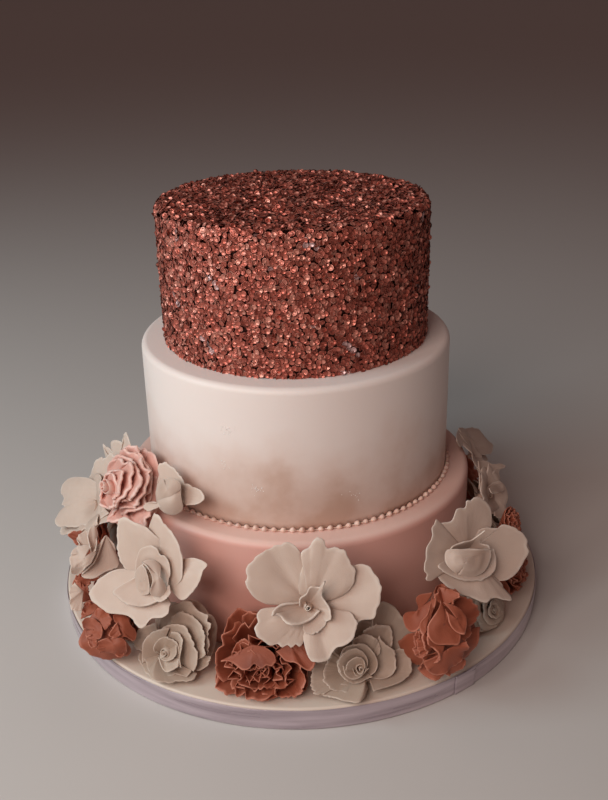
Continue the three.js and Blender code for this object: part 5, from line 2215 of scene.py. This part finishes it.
@dataclass
class Wreath:
    """The sugar flowers that lean on the low tier.

    Attributes:
        gap: Room kept between a flower and what it meets.
        press: How softly a petal bends away from it.
        thick: A petal's thickness at its root, and at its rim.
        flowers: The flowers.
    """

    gap: float = 0.9
    press: float = 2.5
    thick: tuple[float, float] = (1.1, 0.55)
    flowers: tuple[Flower, ...] = ()

    def soften(self, distance: Array) -> Array:
        """A number always above zero that nears the distance: (d + hypot(d, 2 press)) / 2."""
        return (distance + np.hypot(distance, 2 * self.press)) / 2

    def clear_of_tier(self, points: Array, radius: float, top: float) -> Array:
        """Moves points softly out of a round tier, along the shortest way out.

        Args:
            points: The points, (n, 3).
            radius: The tier's radius.
            top: Height of its top.

        Returns:
            The points moved.
        """
        r = np.hypot(points[:, 0], points[:, 1])
        out, rise = r - radius, points[:, 2] - top
        corner = (out > 0) & (rise > 0)
        distance = np.where(corner, np.hypot(out, rise), np.maximum(out, rise))
        safe = np.where(corner, np.maximum(distance, 1e-9), 1)
        outwards = np.where(corner, out / safe, out > rise)
        upwards = np.where(corner, rise / safe, out <= rise)
        push = self.soften(distance - self.gap) + self.gap - distance
        scale = 1 + outwards * push / r
        lifted = points[:, 2] + upwards * push
        return np.stack([points[:, 0] * scale, points[:, 1] * scale, lifted], 1)

    def bent(self, points: Array, walls: Sequence[Wall]) -> Array:
        """Points bent away from the tiers, the board and the neighbours, in two passes.

        Args:
            points: The points, (n, 3).
            walls: The walls between the flower and its neighbours.

        Returns:
            The points moved.
        """
        for _ in range(2):
            points = self.clear_of_tier(points, MIDDLE.radius + 2 * BEAD_RADIUS, MIDDLE.top)
            points = self.clear_of_tier(points, LOW.radius, LOW.top)
            rise = points[:, 2] - ICING.top - self.gap
            points[:, 2] += self.soften(rise) - rise
            for wall in walls:
                distance = (points - wall.point) @ wall.normal - self.gap / 2
                points = points + np.outer(self.soften(distance) - distance, wall.normal)
        return points

    def stem(self, flower: Flower) -> tuple[Array, Marks]:
        """The short stalk behind a flower, down to the low tier: a cone widening to the root.

        Args:
            flower: The flower.

        Returns:
            Points in the flower's own axes as (rows, columns, 3), and their marks.
        """
        behind = math.hypot(flower.root[0], flower.root[1]) - LOW.radius
        level = math.hypot(flower.axis[0], flower.axis[1])
        length = max(behind / level, 2.0) / flower.size
        v = np.linspace(0, 1, 7)[:, None]
        turn = -np.append(rounds(14), 2 * np.pi)[None]
        r = 0.05 + 0.11 * v**2 + 0 * turn
        z = 0.12 * v - length * (1 - v) + 0 * turn
        zero = np.zeros(r.shape)
        # The stalk takes the full painted shade, with a deeper tint, of a flower's middle, and no
        # rim highlight.
        marks = {"across": turn + zero, "along": v + zero, "throat": zero + 1}
        marks.update(rim=zero, tone=zero)
        return np.stack([r * np.cos(turn), r * np.sin(turn), z], -1), marks

    def shell(self, flower: Flower, grid: Array, marks: Marks, walls: Sequence[Wall]) -> Shell:
        """Places one surface of a flower, bends it clear and gives it its thickness.

        Args:
            flower: The flower.
            grid: The surface in the flower's own axes.
            marks: Its marks.
            walls: The walls that it is bent clear of.

        Returns:
            The closed surface in the cake's frame.
        """
        axes = np.stack([flower.side, flower.up, flower.axis])
        points = flower.root + flower.size * grid.reshape(-1, 3) @ axes
        placed = self.bent(points, walls).reshape(grid.shape)
        root, rim = self.thick
        thickness = (root + (rim - root) * np.clip(marks["along"], 0, 1)) * marks.pop("thick", 1.0)
        return leaf(placed, thickness, marks)

    def flower(self, flower: Flower, number: int) -> None:
        """Makes one flower and lets it stand for its node.

        Args:
            flower: The flower.
            number: Its place in the wreath, which seeds its unevenness.
        """
        walls = [w for other in self.flowers if other is not flower if (w := flower.wall(other))]
        rng = np.random.default_rng(100 + number)
        petals = flower.design.petals(flower.turns, rng)
        if flower.hand_set:
            petals = flower.hand_set.all_petals(petals)
        shells = [self.shell(flower, *self.stem(flower), walls)]
        for petal in petals:
            free = isinstance(petal, TracedPetal)
            if free:
                petal = replace(petal, level=flower.design.depth)
            grid, marks = petal.grid(*FINENESS[type(petal)], rng)
            shells.append(self.shell(flower, grid, marks, [] if free else walls))
        shell = joined(shells)
        piece = make_object(f"{flower.name}_petals", shell)
        dress(piece, flower.design.finish, [flower.name])

    def build(self) -> None:
        """Makes every flower."""
        for number, flower in enumerate(self.flowers):
            self.flower(flower, number)


OPEN, CUP, ROSE, BLUSH, RUFFLED, BUD = Kind
WREATH = (
    Flower("open_flower_front", OPEN, (-88.5, 162, 80), (-90, 24), 42, (5, 65, 137, 228, 305),
           HandSet(FRONT_PETALS)),
    Flower("open_flower_left", OPEN, (-126, 160, 84), (-114, 26), 41, (14, 68, 122, 218, 295),
           HandSet(LEFT_PETALS)),
    Flower("open_flower_right", OPEN, (-46.5, 159, 84), (-58, 28), 37, (8, 92, 165, 222, 308),
           HandSet(RIGHT_PETALS)),
    Flower("open_flower_far_left", OPEN, (-167, 157, 80), (-158, 28), 35, (40,),
           HandSet(FAR_LEFT_PETALS, Behind.OUTER, 0.6)),
    Flower("blush_rose", BLUSH, (-149, 147, 115), (-146, 26), 36, (0,),
           HandSet(ROSE_BLUSH, Behind.OUTER)),
    Flower("rosebud", BUD, (-131, 129, 126), (-124, 40), 18, (30,),
           HandSet(BUD_PETALS)),
    Flower("cupped_flower_left", CUP, (-151, 168, 68), (-118, 32), 22, (10,),
           HandSet(CUPPED_PETALS)),
    Flower("ruffled_flower_left_upper", RUFFLED, (-155, 166, 38), (-118, 30), 18, (0,),
           HandSet(LEFT_UPPER_PETALS)),
    Flower("ruffled_flower_left", RUFFLED, (-139.5, 168, 31), (-122, 28), 23, (33,),
           HandSet(PEONY_LEFT, Behind.OUTER, 0.6)),
    Flower("white_rose_left", ROSE, (-120.5, 165, 40), (-116, 24), 30, (15,),
           HandSet(ROSE_LEFT, Behind.OUTER)),
    Flower("ruffled_flower_front", RUFFLED, (-99.5, 166, 36), (-99, 20), 34, (12,),
           HandSet(PEONY_FRONT, Behind.ALL, 1.0)),
    Flower("white_rose_front", ROSE, (-75.5, 167, 36), (-74, 22), 34, (50,),
           HandSet(ROSE_FRONT, Behind.OUTER)),
    Flower("ruffled_flower_right", RUFFLED, (-56, 164, 34), (-66, 12), 30, (70,),
           HandSet(PEONY_RIGHT)),
    Flower("white_rose_right", ROSE, (-38, 165, 31), (-44, 28), 22, (5,)),
    Flower("ruffled_flower_far_right", RUFFLED, (-17, 166, 34), (-17, 16), 24, (25,)),
    Flower("ruffled_flower_right_upper", RUFFLED, (-19, 160, 69), (-16, 22), 14, (0,)),
    Flower("open_flower_right_middle", OPEN, (-14, 144, 84), (-24, 28), 27, (30,),
           HandSet(MIDDLE_PETALS, Behind.OUTER, 0.7)),
    Flower("open_flower_far_right", OPEN, (5, 133, 94), (-5, 36), 25, (0,),
           HandSet(FAR_RIGHT_PETALS, Behind.OUTER, 0.7)),
    Flower("white_rose_back_right", ROSE, (9, 161, 40), (9, 24), 28, (20,)),
    Flower("ruffled_flower_back_right", RUFFLED, (34, 163, 38), (34, 20), 31, (45,)),
    Flower("blush_rose_back", BLUSH, (59, 163, 38), (59, 24), 31, (70,)),
    Flower("open_flower_back_right", OPEN, (72, 160, 82), (72, 26), 40, (50,)),
    Flower("ruffled_flower_back", RUFFLED, (86, 163, 38), (86, 20), 33, (8,)),
    Flower("open_flower_back_left", OPEN, (105, 160, 82), (105, 26), 38, (10,)),
    Flower("white_rose_back_left", ROSE, (112, 163, 38), (112, 24), 31, (35,)),
    Flower("ruffled_flower_back_left", RUFFLED, (138, 163, 38), (138, 20), 31, (60,)),
    Flower("white_rose_far_left", ROSE, (164, 163, 38), (164, 22), 29, (0,)),
    Flower("ruffled_flower_far_left", RUFFLED, (-173, 163, 36), (-173, 18), 22, (10,)),
)


# ---- Studio --------------------------------------------------------------------------


@dataclass(frozen=True)
class Softbox:
    """One soft lamp.

    Attributes:
        turn: Where it stands round the cake, in degrees.
        rise: How high it stands, in degrees.
        distance: From the cake's middle, in metres.
        size: Its side, in metres.
        power: Its power, in watts.
        tint: Its colour.
    """

    turn: float
    rise: float
    distance: float
    size: float
    power: float
    tint: tuple[float, float, float] = (1.0, 1.0, 1.0)


@dataclass
class Studio:
    """The floor, the lamps and the camera.

    Attributes:
        aim: The height that the lamps point at, in metres.
        lamps: The lamps.
        sky: How bright the room is.
        camera_at: Where the camera stands, in metres.
        pitch: How far it looks down, in radians.
        roll: How far it is turned about its view, in radians.
        focal: Its focal length, in pixels of the frame.
        long_side: The frame's longer side, in pixels.
        paper: Radius, underside and top of the paper floor, in millimetres.
        room: The room's tint.
    """

    aim: float = 0.14
    lamps: tuple[Softbox, ...] = (
        Softbox(-160, 30, 1.5, 0.8, 10.3, (0.76, 0.95, 1.0)),
        Softbox(-115, 34, 1.5, 0.8, 11.7, (1.0, 0.84, 0.77)),
    )
    sky: float = 0.095
    camera_at: tuple[float, float, float] = (0.004752, -0.657036, 0.436685)
    pitch: float = 0.418782
    roll: float = -0.0224415
    focal: float = 994.766
    long_side: float = 800.0
    paper: tuple[float, float, float] = (24000.0, -4.0, -0.05)
    room: Colour = (1.0, 0.64, 0.58, 1.0)

    def build(self) -> None:
        """Makes the studio, with plain colours and no film curve."""
        bpy.context.scene.view_settings.view_transform = "Standard"
        self.floor()
        self.light()
        self.camera()

    def floor(self) -> None:
        """A wide disc of pale paper just under the board."""
        radius, under, top = self.paper
        profile = np.array([[0, under], [radius, under], [radius, top], [0, top]])
        floor = make_object("studio_floor", turned(profile, rounds(64)))
        paper = StudioPaper("studio_paper", "board_icing", paint(206, 202, 198))
        floor.data.materials.append(paper.material())

    def light(self) -> None:
        """The lamps and the room's own light."""
        for number, lamp in enumerate(self.lamps, 1):
            data = bpy.data.lights.new(f"softbox_{number}", "AREA")
            data.shape, data.size = "SQUARE", lamp.size
            data.energy, data.color = lamp.power, lamp.tint
            light = bpy.data.objects.new(f"softbox_{number}", data)
            towards = Vector(direction(lamp.turn, lamp.rise))
            light.location = Vector((0, 0, self.aim)) + towards * lamp.distance
            light.rotation_euler = towards.to_track_quat("Z", "Y").to_euler()
            light.visible_camera = False
            bpy.context.scene.collection.objects.link(light)
        world = bpy.data.worlds.new("studio")
        world.use_nodes = True
        background = world.node_tree.nodes["Background"]
        background.inputs["Color"].default_value = self.room
        background.inputs["Strength"].default_value = self.sky
        bpy.context.scene.world = world

    def camera(self) -> None:
        """The camera, with its axes worked out from its pitch and roll."""
        data = bpy.data.cameras.new("camera")
        data.sensor_fit, data.sensor_width = "AUTO", 36.0
        data.lens = data.sensor_width * self.focal / self.long_side
        p, q = self.pitch, self.roll
        level_up = Vector((0, math.sin(p), math.cos(p)))
        forward = Vector((0, math.cos(p), -math.sin(p)))
        right = math.cos(q) * Vector((1, 0, 0)) + math.sin(q) * level_up
        up = -math.sin(q) * Vector((1, 0, 0)) + math.cos(q) * level_up
        camera = bpy.data.objects.new("camera", data)
        turn = Matrix((right, up, -forward)).transposed().to_4x4()
        camera.matrix_world = Matrix.Translation(self.camera_at) @ turn
        bpy.context.scene.collection.objects.link(camera)
        bpy.context.scene.camera = camera


# ---- The cake ------------------------------------------------------------------------


def corners(box: Sequence) -> list[list[float]]:
    """The two corners of a box as plain lists."""
    return [[float(x) for x in corner] for corner in box]


def main() -> None:
    """Builds the cake from the board up, then the studio."""
    logging.basicConfig(level=logging.INFO, format="%(message)s")
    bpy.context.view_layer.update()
    low_icing = RolledIcing(
        "icing_blush", "blush_icing", paint(207, 146, 130), paint(226, 172, 160),
        paint(236, 200, 188), LOW.foot, LOW.top,
    )
    middle_icing = WashedIcing(
        "icing_ivory_washed", "ivory_icing", paint(240, 228, 222), paint(226, 202, 190),
        paint(202, 168, 150), MIDDLE.foot,
    )
    Studio().build()
    Board().build()
    SmoothTier("low_tier", LOW, 5.0, 0.22, low_icing).build(ICING.top, 3)
    SmoothTier("middle_tier", MIDDLE, 4.2, 0.2, middle_icing).build(LOW.top, 4)
    SnailTrail().build()
    SequinTier().build()
    GlitterFlecks().build()
    Wreath(flowers=WREATH).build()


if __name__ == "__main__":
    main()
